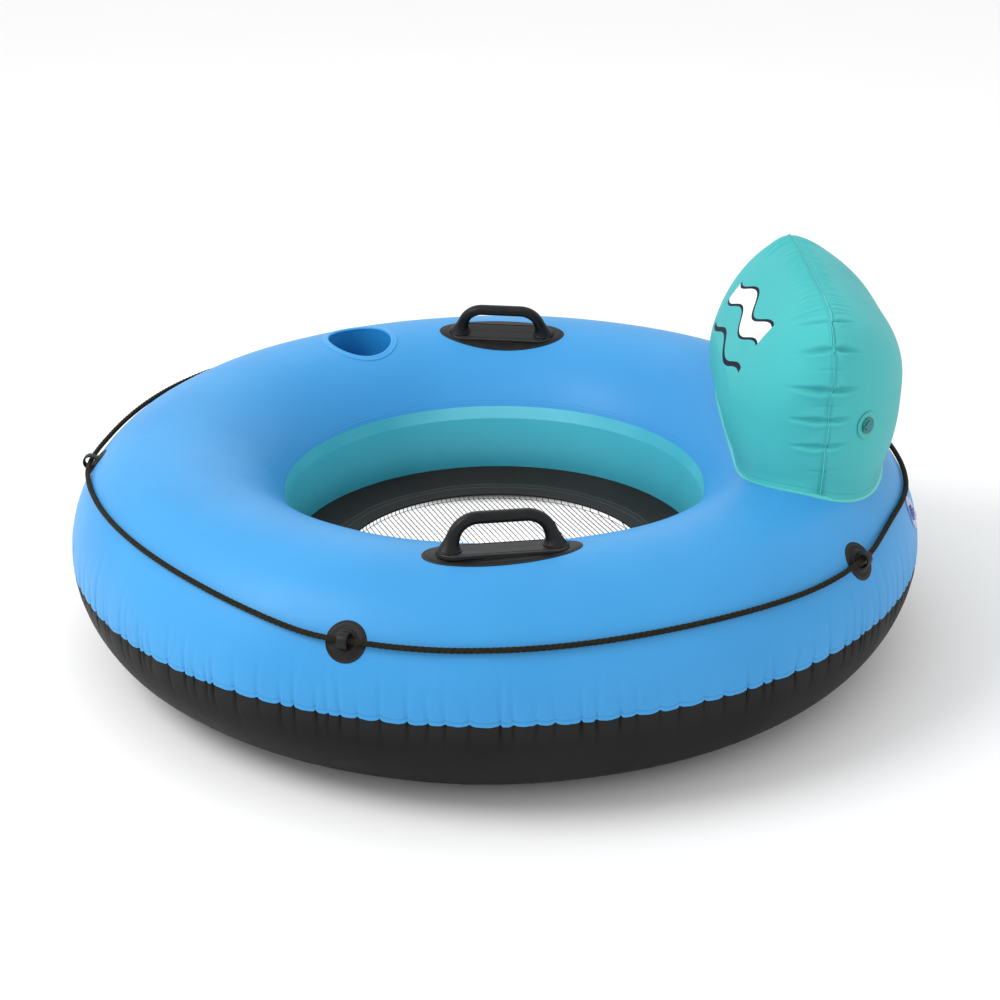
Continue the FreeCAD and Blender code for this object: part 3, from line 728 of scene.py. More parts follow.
def cup():
    """Pocket of dark film let into the ring, and the soft raised ring welded round its mouth."""
    axes = frame_of(ring_way(*CUP["place"]))
    turn = turns(240)
    radius, depth, corner = CUP["radius"], CUP["depth"], 0.010

    def on_skin(r, lift):
        return settle(axes, r * np.cos(turn), r * np.sin(turn), lift, 0.0, np.zeros(len(turn)))

    drop = (on_skin(radius, 0.4 * MM) - axes[0]) @ axes[-1]
    pucker = 0.35 * MM * np.cos(turn * 34) + 0.25 * MM * np.cos(turn * 21 + 1)
    rows = []
    for k in np.linspace(0, 1, 26):
        fold = pucker * (math.exp(-k * 7) + 0.7 * math.exp(-(1 - k) * 6)) * (k > 0.03)
        bulge = -1.6 * MM * math.sin(math.pi * k) * (0.02 < k < 0.98)
        rows.append((radius + bulge + fold, drop * (1 - k) - (depth - corner) * k))
    for a in np.linspace(0.15, math.pi / 2, 8):
        rows.append((radius - corner + corner * math.cos(a), corner - depth - corner * math.sin(a)))
    for out in (0.040, 0.0345, 0.034, 0.030, 0.018, 0.006):
        sag = -0.8 * MM * (1 - (out / 0.046) ** 2) - 0.5 * MM * (out == 0.0345)
        rows.append((out, sag - depth))
    points = [placed(axes, out * np.cos(turn), out * np.sin(turn), z) for out, z in rows]
    points.append(np.broadcast_to(points[-1].mean(0), points[-1].shape))
    obj = make("cup_film", points, grid_faces(len(points), len(turn)), "dark_blue_film")
    shaped(obj, 0.01 * MM)
    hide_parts("cup_pocket")

    # distance out from the mouth and height, in mm
    profile = [(-0.4, -1.2), (-0.3, 0.3), (0.2, 1.2), (1.2, 1.8), (2.8, 2.1), (4.4, 1.9),
               (5.4, 1.35), (6.2, 1.25), (7.4, 1.5), (9.0, 1.6), (10.4, 1.35), (11.2, 0.7),
               (11.6, -0.5)]
    rows = [on_skin(radius + out * MM, (lift + 0.12 * np.cos(turn * 41 + out) * (lift > 0.5)) * MM)
            for out, lift in profile]
    obj = make("cup_mouth_ring", rows, grid_faces(len(rows), len(turn)), "sky_blue_sheet")
    shaped(obj)
    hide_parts("cup_weld_ring")


# ---- grab rope ----

def rope_line():
    """Points along the spline that the CAD model uses for the rope."""
    curve = bpy.data.curves.new("rope_route", "CURVE")
    curve.dimensions = "3D"
    spline = curve.splines.new("NURBS")
    spline.points.add(len(ROPE_ROUTE) - 1)
    for point, (bearing, angle, lift) in zip(spline.points, ROPE_ROUTE):
        origin, normal, _ = ring_way(bearing, angle)
        point.co = (*(origin + normal * lift * MM), 1)
    spline.order_u = 3
    spline.use_endpoint_u = True
    curve.resolution_u = 24
    holder = bpy.data.objects.new("rope_route", curve)
    bpy.context.scene.collection.objects.link(holder)
    drawn = bpy.data.meshes.new_from_object(holder)
    line = np.array([v.co[:] for v in drawn.vertices])
    bpy.data.objects.remove(holder)
    bpy.data.meshes.remove(drawn)
    return line


def rope():
    """Three laid strands along the route, and the crimped sleeve where it closes."""
    line = rope_line()
    travel = travelled(line)
    at = np.arange(0, travel[-1], 2.2 * MM)
    at[-1] = travel[-1]
    path = np.stack([np.interp(at, travel, line[:, k]) for k in range(3)], -1)
    side, top = level_frame(path)
    offset, radius, lay, ring = 2.02 * MM, 2.28 * MM, 0.026, turns(10)
    verts, faces = [], []
    for strand in range(3):
        turn = (at / lay * TAU + strand * TAU / 3)[:, None]
        middle = path + offset * (np.cos(turn) * side + np.sin(turn) * top)
        out = unit(middle - path)
        wide = np.cross(unit(np.gradient(middle, axis=0)), out)
        rings = tube(middle, out, wide, ring, radius * 0.95, radius * 1.08)
        faces.append(grid_faces(len(at), len(ring)) + strand * len(at) * len(ring))
        verts.append(rings)
    obj = make("grab_rope_strands", np.concatenate(verts), np.concatenate(faces), "dark_rope",
               along=np.tile(np.repeat(at, len(ring)), 3), around=np.tile(ring, len(at) * 3))
    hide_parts("grab_rope")

    # crimped sleeve: a tube squeezed at three places, in line with the two rope ends
    first, last = path[0], path[-1]
    way = unit(first - last)
    side = unit(np.cross(way, [0, 0, 1.0]))
    top = np.cross(side, way)
    half, mouth, bore = np.linalg.norm(first - last) / 2 + 4 * MM, [0.985], [4.3 * MM]
    k = np.linspace(-1, 1, 61)
    squeeze = sum(bell((k - c) / 0.10) for c in (-0.5, 0.0, 0.5))
    size = 6.2 * MM * (1 - 0.16 * smooth(abs(k), 0.94, 1.0))
    wide, high = (np.concatenate([bore, size * (1 + more * squeeze), bore])[:, None]
                  for more in (0.03, -0.16))
    along = np.concatenate([-np.array(mouth), k, mouth])[:, None]
    rows = tube((first + last) / 2 + way * half * along, side, top, turns(40), wide, high)
    sleeve = make("rope_crimp_sleeve", rows, grid_faces(len(rows), 40), "black_moulding")
    shaped(sleeve)
    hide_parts("rope_sleeve")


# ---- backrest ----

PILLOW = dict(place=0.4767, level=0.330, lean=0.0585, half=0.2913, taper=0.12, middle=0.4131,
              rise=0.1690, drop=0.2171, seam_square=4.74, face_square=2.71)
# depth and the two powers of the section of the front (-1) and rear (1) panel
PANELS = {-1: (0.1302, 2.96, 1.52), 1: (0.1560, 1.875, 1.77)}
PILLOW_MIDDLE = np.array([PILLOW["place"], 0, PILLOW["middle"]])
FIN, FIN_WIDTH = 0.0008, 3.3


def pillow_point(phi, u, side):
    """Points of a panel: phi goes round its outline, u from the seam to the middle of the face."""
    depth, round_power, crown_power = PANELS[side]
    width = PILLOW["half"] * (1 - u ** round_power) ** (1 / round_power)
    crown = (1 - u ** crown_power) ** (1 / crown_power)
    power = PILLOW["seam_square"] + (PILLOW["face_square"] - PILLOW["seam_square"]) * u ** 0.7
    cos, sin = np.cos(phi), np.sin(phi)
    high = np.where(sin > 0, PILLOW["rise"], PILLOW["drop"]) * crown
    tiny = 1e-9
    out = (abs(cos / (width + tiny)) ** power + abs(sin / (high + tiny)) ** power) ** (-1 / power)
    z = PILLOW["middle"] + out * sin
    y = out * cos * (1 + PILLOW["taper"] * (PILLOW["middle"] - z))
    x = PILLOW["place"] + PILLOW["lean"] * (z - PILLOW["level"]) + side * (FIN + (depth - FIN) * u)
    return np.stack([x + 0 * y, y, z], -1)


# creases across the seam: place round the outline in degrees, then in mm the depth, half width
# and reach forward and back
CREASES = [
    (145.6, 6.4, 5.0, 62, 44), (154.7, 7.4, 5.2, 64, 56), (166.2, 7.8, 5.4, 70, 52),
    (174.8, 6.4, 4.8, 62, 40), (182.6, 5.4, 4.6, 56, 32), (160.3, 1.4, 3.2, 26, 20),
    (170.4, 1.2, 3.0, 24, 26), (190.0, 1.2, 3.0, 26, 18), (34.0, 6.2, 5.0, 58, 46),
    (24.6, 7.2, 5.2, 64, 54), (14.2, 7.0, 5.2, 62, 50), (4.6, 5.6, 4.8, 54, 42),
    (-3.8, 4.6, 4.4, 44, 34), (19.2, 1.3, 3.0, 24, 22), (9.3, 1.2, 3.0, 26, 20)]
DEEP = 3
fine = np.random.default_rng(41)
FINE = []
for place in (*np.arange(37.5, 84, 2.5), *np.arange(86, 96, 3.0), *np.arange(97.5, 143.5, 2.5)):
    # the seam gathers most just above its turn down the side
    gather = 1 + 0.9 * math.exp(-((abs(place - 90) - 50) / 9) ** 2)
    FINE.append((place + fine.uniform(-0.6, 0.6), fine.uniform(0.9, 2.3) * gather,
                 fine.uniform(2.2, 3.8), fine.uniform(26, 52) * gather,
                 fine.uniform(18, 38) * gather))

outline_phi = np.linspace(-math.pi / 2, 1.5 * math.pi, 4001)
outline_run = travelled(pillow_point(outline_phi, np.zeros(1), -1))


def seam_run(phi):
    """Length along the backrest's outline, from its lowest point."""
    return np.interp(np.mod(phi + math.pi / 2, TAU) - math.pi / 2, outline_phi, outline_run)


def run_at(degrees):
    return np.interp(np.radians(degrees), outline_phi, outline_run)


def seam_sway(run):
    """How far the seam is drawn forward or back; it changes over at each deep crease."""
    deep = sorted(run_at(crease[0]) for crease in CREASES if crease[1] > DEEP)
    swing = np.array([1.5, -1.1, 1.9, -1.3, 0.8]) * MM
    at, to = [deep[0] - 0.06], [0.0]
    for k, place in enumerate(deep):
        at += [place - 3 * MM, place + 3 * MM]
        to += [swing[k % 5], -0.6 * swing[k % 5]]
        if k + 1 < len(deep) and deep[k + 1] - place > 0.15:
            at += [place + 0.06, deep[k + 1] - 0.06]
            to += [0.0, 0.0]
    return np.interp(run, at + [deep[-1] + 0.06], to + [0.0])


def panel(name, side, node):
    """Front or rear sheet of the backrest, creased from its seam and cut off inside the ring."""
    cols = 1260
    phi = turns(cols) - math.pi / 2
    u = np.concatenate([[0, 0.006, 0.012, 0.02, 0.03, 0.042, 0.056],
                        np.sin(np.radians(np.linspace(0.9, 89.6, 96))) ** (2 / PANELS[side][1])])
    u = np.unique(u)
    if side < 0:
        u = u[np.concatenate([[True], np.diff(u) > 0.004])]
    points = pillow_point(phi[None], u[:, None], side)
    run = seam_run(phi)
    away = travelled(points)
    across = np.roll(points, -1, axis=1) - np.roll(points, 1, axis=1)
    normal = unit(np.cross(across, np.gradient(points, axis=0)))
    flip = np.sign(((points - PILLOW_MIDDLE) * normal).sum(-1, keepdims=True))
    normal = normal * np.where(flip == 0, 1, flip)
    normal[0] = normal[1]

    height = -0.8 * MM * bell(away / 0.0035)
    for place, depth, width, forward, back in CREASES + FINE:
        share = np.clip(away / ((forward if side < 0 else back) * MM), 0, 1)
        size = depth * MM * (0.45 + 0.55 * smooth(away, 0, 0.014)) * (1 - share ** 1.8) ** 1.25
        half = width * MM * (1 - 0.58 * share) * (0.6 + 0.4 * smooth(away, 0, 0.016))
        x = (run - run_at(place) - 0.10 * math.sin(place * 3.7) * away) / half
        height = height - size * (bell(x) - 0.42 * bell((x - 1.9) / 1.5)
                                  - 0.25 * bell((x + 1.9) / 1.5))
    # the film swells between the creases down each side
    places = sorted(crease[0] for crease in CREASES)
    for first, last in zip(places, places[1:]):
        if last - first < 30:
            low, high = run_at(first), run_at(last)
            k = np.clip((run - low) / (high - low), 0, 1)
            height = height + 0.040 * (high - low) * arch(k) ** 0.8 * np.exp(-(away / 0.030) ** 1.4)
    # slow unevenness of a blown-up pillow
    height = height + MM * smooth(away, 0.01, 0.07) * (
        0.8 * np.sin(points[..., 2] * 31 + 0.6) * np.cos(points[..., 1] * 17)
        + 0.6 * np.sin(points[..., 1] * 43 + points[..., 2] * 19))
    # the foot is drawn outwards where it is welded down
    clear = on_ring(points)[2]
    foot = np.clip(1 - clear / 0.020, 0, 1)
    height = height + 5.0 * MM * foot ** 2 * (clear > -0.004) * smooth(away, 0, 0.02)
    points = points + normal * height[..., None]
    points[..., 0] += seam_sway(run) * np.exp(-(away / 0.020) ** 1.5)

    clear = on_ring(points)[2]
    faces = grid_faces(len(u), cols)
    faces = faces[~(clear < -0.003).ravel()[faces].all(axis=1)]
    # a fan closes the middle of the face
    verts = np.concatenate([points.reshape(-1, 3), points[-1].mean(0, keepdims=True)])
    last, pole = (len(u) - 1) * cols, len(u) * cols
    fan = np.array([(last + c, last + (c + 1) % cols, pole) for c in range(cols)])
    if side > 0:
        faces, fan = faces[:, ::-1], fan[:, ::-1]
    obj = make(name, verts, faces.tolist() + fan.tolist(), "aqua_sheet",
               from_fin=np.append(away.ravel(), away[-1].mean()),
               above_ring=np.append(clear.ravel(), 0.3))
    shaped(obj)
    if side > 0:
        cut_hole(obj, *BACK_VALVE, BACK_VALVE_HOLE)
    edit(obj, lambda bm: bmesh.ops.delete(bm, geom=[v for v in bm.verts if not v.link_faces],
                                          context="VERTS"))
    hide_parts(node)


def seam_fin():
    """Welded edge of the two panels: it leans one way and the other between the creases."""
    cols = 1600
    phi = np.linspace(math.radians(-48), math.radians(228), cols)
    run = seam_run(phi)
    base = pillow_point(phi, np.zeros(1), -1)
    base[:, 0] += FIN + seam_sway(run)
    outward = unit(np.cross(unit(np.gradient(base, axis=0)), [-1.0, 0, 0.0]))
    outward *= np.sign(((base - PILLOW_MIDDLE) * outward).sum(-1, keepdims=True))
    # it changes its lean at the creases and at a few places below them
    stops = [-40, 218, 196, 203, 209] + [c[0] for c in CREASES if c[1] > 1.0]
    at = run_at(sorted(stops + [c[0] for c in FINE if c[1] > 0.8]))
    rng = np.random.default_rng(8)
    sway = rng.uniform(0.3, 1.1, len(at)) * np.where(np.arange(len(at)) % 2, 1, -1) * MM
    lean = np.interp(run, at, sway)
    dip = np.zeros(cols)
    for place, depth, width, *_ in CREASES + FINE:
        dip -= 0.45 * depth * MM * bell((run - run_at(place)) / (width * 1.5 * MM))
    # it stands up at the sides and lies nearly flat over the top
    tall = 0.36 + 0.50 * smooth(abs(phi - math.pi / 2), math.radians(40), math.radians(56))
    # half of its section: distance out and half thickness, in mm
    rows = [(-2.0, 0.5), (0.3, 0.55), (0.9, 0.6), (1.3, 0.8), (1.8, 0.8), (2.2, 0.6), (2.9, 0.55),
            (FIN_WIDTH, 0.32)]
    loop = [(o, -t) for o, t in rows] + [(o, t) for o, t in rows[::-1]]
    points = []
    for out, shift in loop:
        k = max(out, 0) / FIN_WIDTH
        up = np.where(out > 0, out * tall, out) * MM + dip + 0.3 * MM * k * tall * np.sin(run * 260)
        points.append(base + outward * up[:, None]
                      + np.array([1.0, 0, 0]) * (shift * MM + lean * k)[:, None])
    # a closed section, so the grid wraps across it instead of along it
    verts = np.array(points).transpose(1, 0, 2)
    obj = make("backrest_fin", verts, grid_faces(cols, len(loop)), "aqua_sheet",
               out=np.tile([max(o, 0) / FIN_WIDTH for o, _ in loop], cols))
    hidden = np.nonzero(on_ring(verts.reshape(-1, 3))[2] < -0.002)[0]

    def trim(bm):
        bm.verts.ensure_lookup_table()
        bmesh.ops.delete(bm, geom=[bm.verts[k] for k in hidden], context="VERTS")
        bmesh.ops.recalc_face_normals(bm, faces=bm.faces)

    edit(obj, trim)
    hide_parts("backrest_seam_fin")


# ---- materials ----

class Paint:
    """Node material with a few shorthands."""

    def __init__(self, name):
        self.material = bpy.data.materials.new(name)
        self.material.use_nodes = True
        self.nodes, self.links = self.material.node_tree.nodes, self.material.node_tree.links
        self.shader = self.nodes["Principled BSDF"]

    def node(self, kind, inputs=(), **values):
        """New node; inputs are (slot, number, colour or socket) pairs."""
        made = self.nodes.new(kind)
        for key, value in values.items():
            setattr(made, key, value)
        for slot, value in inputs:
            self.feed(made.inputs[slot], value)
        return made

    def feed(self, slot, value):
        if isinstance(value, bpy.types.NodeSocket):
            self.links.new(value, slot)
        else:
            slot.default_value = value

    def set(self, **values):
        for key, value in values.items():
            self.feed(self.shader.inputs[key.replace("_", " ")], value)

    def where(self, stretch=(1, 1, 1)):
        place = self.node("ShaderNodeTexCoord").outputs["Object"]
        return self.node("ShaderNodeMapping", [("Vector", place), ("Scale", stretch)]).outputs[0]

    def noise(self, scale, detail=3.0, rough=0.5, stretch=(1, 1, 1), place=None):
        return self.node("ShaderNodeTexNoise", [
            ("Scale", scale), ("Detail", detail), ("Roughness", rough),
            ("Vector", self.where(stretch) if place is None else place)]).outputs["Fac"]

    def value(self, name):
        return self.node("ShaderNodeAttribute", attribute_name=name).outputs["Fac"]

    def math(self, operation, *values):
        return self.node("ShaderNodeMath", enumerate(values), operation=operation).outputs[0]

    def times(self, a, b):
        return self.math("MULTIPLY", a, b)

    def opposite(self, value):
        return self.math("SUBTRACT", 1.0, value)

    def from_middle(self, value, middle=0.0):
        return self.math("ABSOLUTE", self.math("SUBTRACT", value, middle))

    def band(self, value, low, high):
        """Soft 0 to 1 between two values."""
        return self.node("ShaderNodeMapRange", [
            ("Value", value), ("From Min", low), ("From Max", high)],
            interpolation_type="SMOOTHSTEP").outputs["Result"]

    def spread(self, value, low, high):
        return self.node("ShaderNodeMapRange", [
            ("Value", value), ("To Min", low), ("To Max", high)]).outputs["Result"]

    def line(self, value, middle, half):
        """1 on a line where value is close to middle."""
        return self.opposite(self.band(self.from_middle(value, middle), half * 0.4, half))

    def lines(self, value, first, second, half):
        return self.math("MAXIMUM", self.line(value, first, half), self.line(value, second, half))

    def mix(self, factor, a, b):
        a, b = ((*v, 1) if isinstance(v, tuple) else v for v in (a, b))
        return self.node("ShaderNodeMix", [("Factor", factor), ("A", a), ("B", b)],
                         data_type="RGBA").outputs["Result"]

    def bump(self, *layers):
        """Stacked bumps from (height, depth in metres)."""
        inputs = []
        for height, depth in layers:
            made = self.node("ShaderNodeBump", [("Distance", depth), ("Height", height), *inputs])
            inputs = [("Normal", made.outputs["Normal"])]
        self.set(Normal=made.outputs["Normal"])


class Film(Paint):
    """Welded PVC film: slow blotches of tone, fine grain and a soft gloss."""

    def __init__(self, name, base, deep, rough=0.40, soft=0.02, shine=0.20):
        super().__init__(name)
        self.tone = self.mix(self.band(self.noise(3.1, 2.0), 0.36, 0.66), deep, base)
        gloss = self.spread(self.noise(38), rough - 0.05, rough + 0.07)
        self.set(IOR=1.5, Specular_IOR_Level=shine, Coat_Weight=soft, Coat_Roughness=0.3,
                 Roughness=gloss)

    def tint(self, mask, share, tone):
        self.tone = self.mix(self.times(mask, share), self.tone, tone)

    def done(self, *layers, grain=0.04):
        """Material with its grain and further bumps, as (height, depth in mm)."""
        self.set(Base_Color=self.tone)
        layers = ((self.noise(900, 2.0), grain), *layers)
        self.bump(*((height, depth * MM) for height, depth in layers))
        return self.material


def plain_film(name, base, deep, rough, soft, scale, depth, grain=0.04):
    paint = Film(name, base, deep, rough, soft)
    return paint.done((paint.noise(scale), depth), grain=grain)


def sky_blue():
    paint = Film("sky_blue_sheet", SKY, SKY_DEEP, 0.42)
    edge, wall = paint.value("from_edge"), paint.value("to_wall")
    weld = paint.line(edge, 0.0058, 0.0011)
    double = paint.lines(wall, 0.0050, 0.0095, 0.0012)
    paint.tint(paint.opposite(paint.band(edge, 0.0, 0.0022)), 0.5, SKY_LIGHT)
    paint.tint(weld, 0.20, SKY_DARK)
    paint.tint(double, 0.16, SKY_DARK)
    return paint.done((paint.noise(140), 0.12), (weld, -0.3), (double, -0.2))


def black_film():
    """Black sheet, a little lighter near the outer seam, with painted shade in its creases."""
    paint = Film("black_sheet", grey(0.0175, 0.0003), grey(0.0135, 0.0003), soft=0.0, shine=0.04)
    near = paint.opposite(paint.band(paint.from_middle(paint.value("from_seam")), 0.004, 0.040))
    paint.tint(near, 0.45, grey(0.0270, 0.0002))
    # painted shade in the bottom of the creases near the outer seam
    paint.tint(paint.value("gathered"), 0.85, grey(0.0030))
    streaks = paint.noise(16, 3.0, 0.6, (1, 1, 0.12))
    paint.set(Roughness=paint.spread(streaks, 0.40, 0.56))
    return paint.done((streaks, 0.3), (paint.noise(260, 2.0), 0.08), grain=0.06)


def floor_film():
    """Floor ring, lighter at its hem, with two grooved weld lines that are painted lighter as a
    highlight.
    """
    paint = Film("floor_sheet", (0.0200, 0.0160, 0.0140), (0.0140, 0.0115, 0.0100), 0.44, 0.0)
    inner = paint.value("from_hole")
    lines = paint.lines(inner, 0.0190, 0.0275, 0.0016)
    paint.tint(paint.opposite(paint.band(inner, 0.020, 0.036)), 0.30, (0.044, 0.040, 0.037))
    # painted highlight along the two grooved weld lines
    paint.tint(lines, 0.6, (0.062, 0.058, 0.054))
    return paint.done((paint.noise(120), 0.2), (lines, -0.3), grain=0.06)


def wall_film(name, base, deep):
    paint = Film(name, base, deep, 0.36)
    paint.tint(paint.line(paint.value("to_band"), 0.0, 0.0012), 0.35, deep)
    return paint.done((paint.noise(90), 0.16))


# waves printed on the backrest: level, tone and half width
WAVES = [(0.510, (0.003, 0.004, 0.022), 0.0165), (0.510, (0.86, 0.88, 0.90), 0.0125),
         (0.455, (0.003, 0.004, 0.022), 0.0042)]


def backrest_film(name, printed):
    paint = Film(name, AQUA, AQUA_DEEP, 0.50, 0.0, 0.05 if printed else 0.12)
    weld = paint.line(paint.value("from_fin"), 0.0032, 0.0012)
    hem = paint.line(paint.value("above_ring"), 0.0075, 0.0014)
    paint.tint(weld, 0.12, AQUA_DARK)
    paint.tint(hem, 0.14, AQUA_DARK)
    if printed:
        place = paint.node("ShaderNodeSeparateXYZ", [("Vector", paint.where())])
        y, z = place.outputs["Y"], place.outputs["Z"]
        wave = paint.times(paint.math("SINE", paint.times(y, 38.0)), 0.009)
        inside = paint.opposite(paint.band(paint.from_middle(y), 0.135, 0.1365))
        for level, tone, half in WAVES:
            off = paint.math("ABSOLUTE", paint.math("SUBTRACT",
                                                    paint.math("SUBTRACT", z, level), wave))
            ink = paint.opposite(paint.band(off, half - 0.0004, half))
            paint.tint(ink, inside, tone)
    return paint.done((paint.noise(120), 0.14), (weld, -0.2), (hem, -0.3))


def fin_film():
    paint = Film("fin_sheet", (0.11, 0.57, 0.56), AQUA, 0.40, 0.0, 0.15)
    paint.tint(paint.line(paint.value("out"), 0.15, 0.14), 0.2, AQUA_DARK)
    return paint.done((paint.noise(200), 0.1))


def moulding():
    """Black moulded PVC: matt grain and random blotches, with a painted highlight on its rounded
    edges and painted shade in its grooves.
    """
    paint = Paint("black_moulding")
    blotches_and_edge_shading = paint.noise(55, 4.0)
    tone = paint.mix(paint.band(blotches_and_edge_shading, 0.35, 0.7), grey(0.0050), (0.0095, 0.0095, 0.0092))
    # painted highlight on the rounded edges, then painted shade in the grooves
    tone = paint.mix(paint.times(paint.value("rubbed"), 0.7), tone, (0.060, 0.058, 0.055))
    tone = paint.mix(paint.times(paint.value("sunk"), 0.8), tone, grey(0.0015))
    paint.set(Base_Color=tone, Specular_IOR_Level=0.21, IOR=1.5,
              Roughness=paint.spread(blotches_and_edge_shading, 0.34, 0.50))
    paint.bump((paint.noise(1500, 2.0), 0.00005), (paint.noise(320), 0.0001))
    return paint.material


def netting():
    """Black knitted polyester, with the twist of the yarn."""
    paint = Paint("black_mesh")
    yarn = paint.noise(2600, 2.0)
    paint.set(Base_Color=paint.mix(yarn, grey(0.010, 0.001), grey(0.045, 0.002)),
              Roughness=0.72, Specular_IOR_Level=0.25)
    paint.bump((yarn, 0.0001))
    return paint.material


def rope_fibre():
    """Near-black laid rope with olive and reddish flecks and fine fibres along each strand."""
    paint = Paint("dark_rope")
    along, around = paint.value("along"), paint.value("around")
    place = paint.node("ShaderNodeCombineXYZ", [
        ("X", paint.times(along, 260.0)), ("Y", paint.times(paint.math("SINE", around), 6.0)),
        ("Z", paint.times(paint.math("COSINE", around), 6.0))])
    fibre = paint.noise(1.6, 4.0, place=place.outputs["Vector"])
    fleck = paint.band(paint.noise(420, 2.0), 0.58, 0.72)
    tone = paint.mix(paint.band(fibre, 0.42, 0.72), (0.005, 0.005, 0.0035), (0.036, 0.031, 0.009))
    paint.set(Base_Color=paint.mix(fleck, tone, (0.055, 0.028, 0.010)), Roughness=0.72,
              Specular_IOR_Level=0.15)
    paint.bump((fibre, 0.0006))
    return paint.material


def soft_plastic(name, deep, light, clear, shine, rough):
    """Flexible PVC of the valves, cloudy where it is thick."""
    paint = Paint(name)
    cloud = paint.noise(120)
    paint.set(Base_Color=paint.mix(cloud, deep, light), Transmission_Weight=clear, IOR=1.42,
              Specular_IOR_Level=shine, Roughness=paint.spread(cloud, *rough))
    paint.bump((cloud, 0.0002), (paint.noise(600, 2.0), 0.00006))
    return paint.material


# tones in linear light

def grey(level, blue=0.0):
    return (level, level, level + blue)


SKY, SKY_DEEP = (0.048, 0.300, 0.640), (0.040, 0.275, 0.600)
SKY_LIGHT, SKY_DARK = (0.09, 0.40, 0.76), (0.02, 0.14, 0.40)
AQUA, AQUA_DEEP = (0.070, 0.455, 0.465), (0.060, 0.420, 0.430)
AQUA_LIGHT, AQUA_DARK = (0.14, 0.60, 0.58), (0.02, 0.24, 0.26)
TEAL, TEAL_DEEP, BAND_TONE = (0.064, 0.430, 0.540), (0.054, 0.395, 0.500), (0.15, 0.59, 0.71)


# ---- camera, light and floor ----

def camera(scene):
    """The camera that was fitted to the outlines in the photograph."""
    place, target = Vector((0, -3.0105, 1.5016)), Vector((0.0088, 0, 0.1952))
    roll = math.radians(-0.526)
    forward = (target - place).normalized()
    right = forward.cross(Vector((0, 0, 1))).normalized()
    up = right.cross(forward)
    side = right * math.cos(roll) + up * math.sin(roll)
    top = up * math.cos(roll) - right * math.sin(roll)
    data = bpy.data.cameras.new("camera")
    data.lens, data.sensor_width, data.clip_end = 72.82, 36, 60
    obj = bpy.data.objects.new("camera", data)
    scene.collection.objects.link(obj)
    matrix = Matrix((side, top, -forward)).transposed().to_4x4()
    matrix.translation = place
    obj.matrix_world = matrix
    scene.camera = obj


def lamp(scene, name, place, aim, size, power):
    light = bpy.data.lights.new(name, "AREA")
    light.shape, light.size, light.energy = "DISK", size, power
    obj = bpy.data.objects.new(name, light)
    obj.location = place
    obj.rotation_mode = "QUATERNION"
    obj.rotation_quaternion = (Vector(aim) - Vector(place)).to_track_quat("-Z", "Y")
    scene.collection.objects.link(obj)


def page(scene):
    """Wide pale floor that fades into the background."""
    mesh = bpy.data.meshes.new("floor")
    floor = bpy.data.objects.new("floor", mesh)
    edit(floor, lambda bm: bmesh.ops.create_circle(bm, cap_ends=True, segments=128, radius=60.0))
    floor.location.z = -0.0005
    scene.collection.objects.link(floor)
    paint = Paint("floor")
    tone = paint.mix(paint.noise(2.0, 2.0), grey(0.90), grey(0.92))
    # painted light: the part under the seat, seen through the net, glows so that it looks as bright
    # as the rest of the page
    out = paint.node("ShaderNodeVectorMath", [(0, paint.where())], operation="LENGTH")
    lit = paint.opposite(paint.band(out.outputs["Value"], 0.43, 0.48))
    paint.set(Base_Color=tone, Roughness=0.9, Specular_IOR_Level=0.1,
              Emission_Color=(1, 1, 1, 1), Emission_Strength=paint.times(lit, 1.05))
    mesh.materials.append(paint.material)


def studio():
    scene = bpy.context.scene
    scene.view_settings.view_transform = "Standard"
    world = bpy.data.worlds.new("studio")
    world.use_nodes = True
    light = world.node_tree.nodes["Background"].inputs
    light["Color"].default_value, light["Strength"].default_value = (1.0, 1.0, 1.0, 1), 1.01
    scene.world = world
    camera(scene)
    lamp(scene, "key", (-2.9, -1.1, 3.5), (0, 0, 0.2), 2.4, 104)
    lamp(scene, "back", (-0.6, 3.0, 2.6), (0, 0, 0.3), 2.2, 6)
    page(scene)


# ---- put together ----

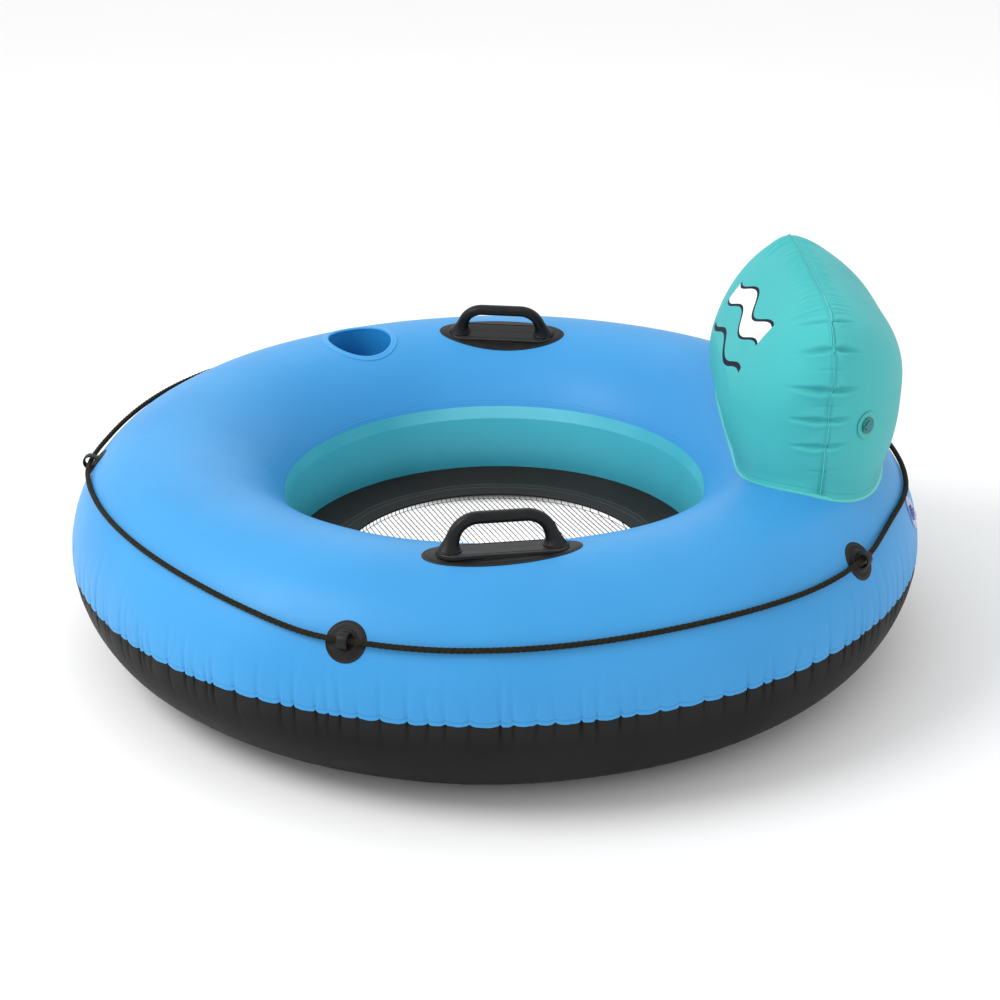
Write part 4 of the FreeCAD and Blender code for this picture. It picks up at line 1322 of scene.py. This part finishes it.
studio()
rope()
top_skin()
bottom_skin()
split = 1 - BAND / (UPPER_SEAM[1] - LOWER_SEAM[1])
wall_strip("seat_wall_sheet", 0.0, split, "teal_sheet", "inner_wall", 26)
wall_strip("seat_wall_band", split, 1.0, "light_teal_sheet", "wall_top_band", 12)
floor_ring()
floor_net()
for handle, (bearing, angle, turn) in HANDLES.items():
    axes = frame_of(ring_way(bearing, angle), turn)
    handle_patch(handle, axes)
    handle_grip(handle, axes)
for number, place in enumerate(GUIDES, 1):
    guide(number, place)
cup()
panel("backrest_front", -1, "backrest_front_panel")
panel("backrest_rear", 1, "backrest_rear_panel")
seam_fin()

# finish of each material slot, and of the few pieces that have one of their own
finishes = {
    "sky_blue_sheet": sky_blue(), "black_sheet": black_film(), "black_moulding": moulding(),
    "black_mesh": netting(), "dark_rope": rope_fibre(),
    "clear_moulding": soft_plastic("clear_moulding", (0.34, 0.46, 0.86), (0.55, 0.66, 0.95),
                                   0.72, 0.5, (0.10, 0.24)),
    "dark_blue_film": plain_film("dark_blue_film", (0.020, 0.225, 0.53), (0.012, 0.18, 0.46),
                                 0.26, 0.15, 60, 0.4, 0.03),
    "light_aqua_film": plain_film("light_aqua_film", AQUA_LIGHT, AQUA, 0.36, 0.04, 220, 0.18),
    "teal_sheet": wall_film("teal_sheet", TEAL, TEAL_DEEP),
    "light_teal_sheet": wall_film("light_teal_sheet", BAND_TONE, TEAL),
    "aqua_sheet": backrest_film("aqua_sheet", False),
}
tinted = soft_plastic("aqua_moulding", (0.016, 0.190, 0.205), (0.030, 0.300, 0.310),
                      0.25, 0.4, (0.16, 0.32))
special = {
    "backrest_front": backrest_film("aqua_printed", True), "backrest_fin": fin_film(),
    "floor_ring_sheet": floor_film(),
    "cup_mouth_ring": plain_film("weld_ring_sheet", (0.060, 0.330, 0.680), SKY,
                                 0.38, 0.02, 160, 0.12),
    "backrest_valve_seat": soft_plastic("aqua_seat", (0.055, 0.430, 0.420),
                                        (0.075, 0.500, 0.480), 0.1, 0.4, (0.16, 0.32)),
    "backrest_valve_stem": tinted, "backrest_valve_plug": tinted, "backrest_valve_flap": tinted,
}
slots = {part["node"]: part["material_slot"] for part in frame["record"]["subparts"]}
for obj in [o for o in bpy.context.scene.objects if o.type == "MESH" and o.name != "floor"]:
    finish = special.get(obj.name) or finishes.get(slots.get(obj.name, obj.get("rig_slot")))
    obj.data.materials.clear()
    obj.data.materials.append(finish)
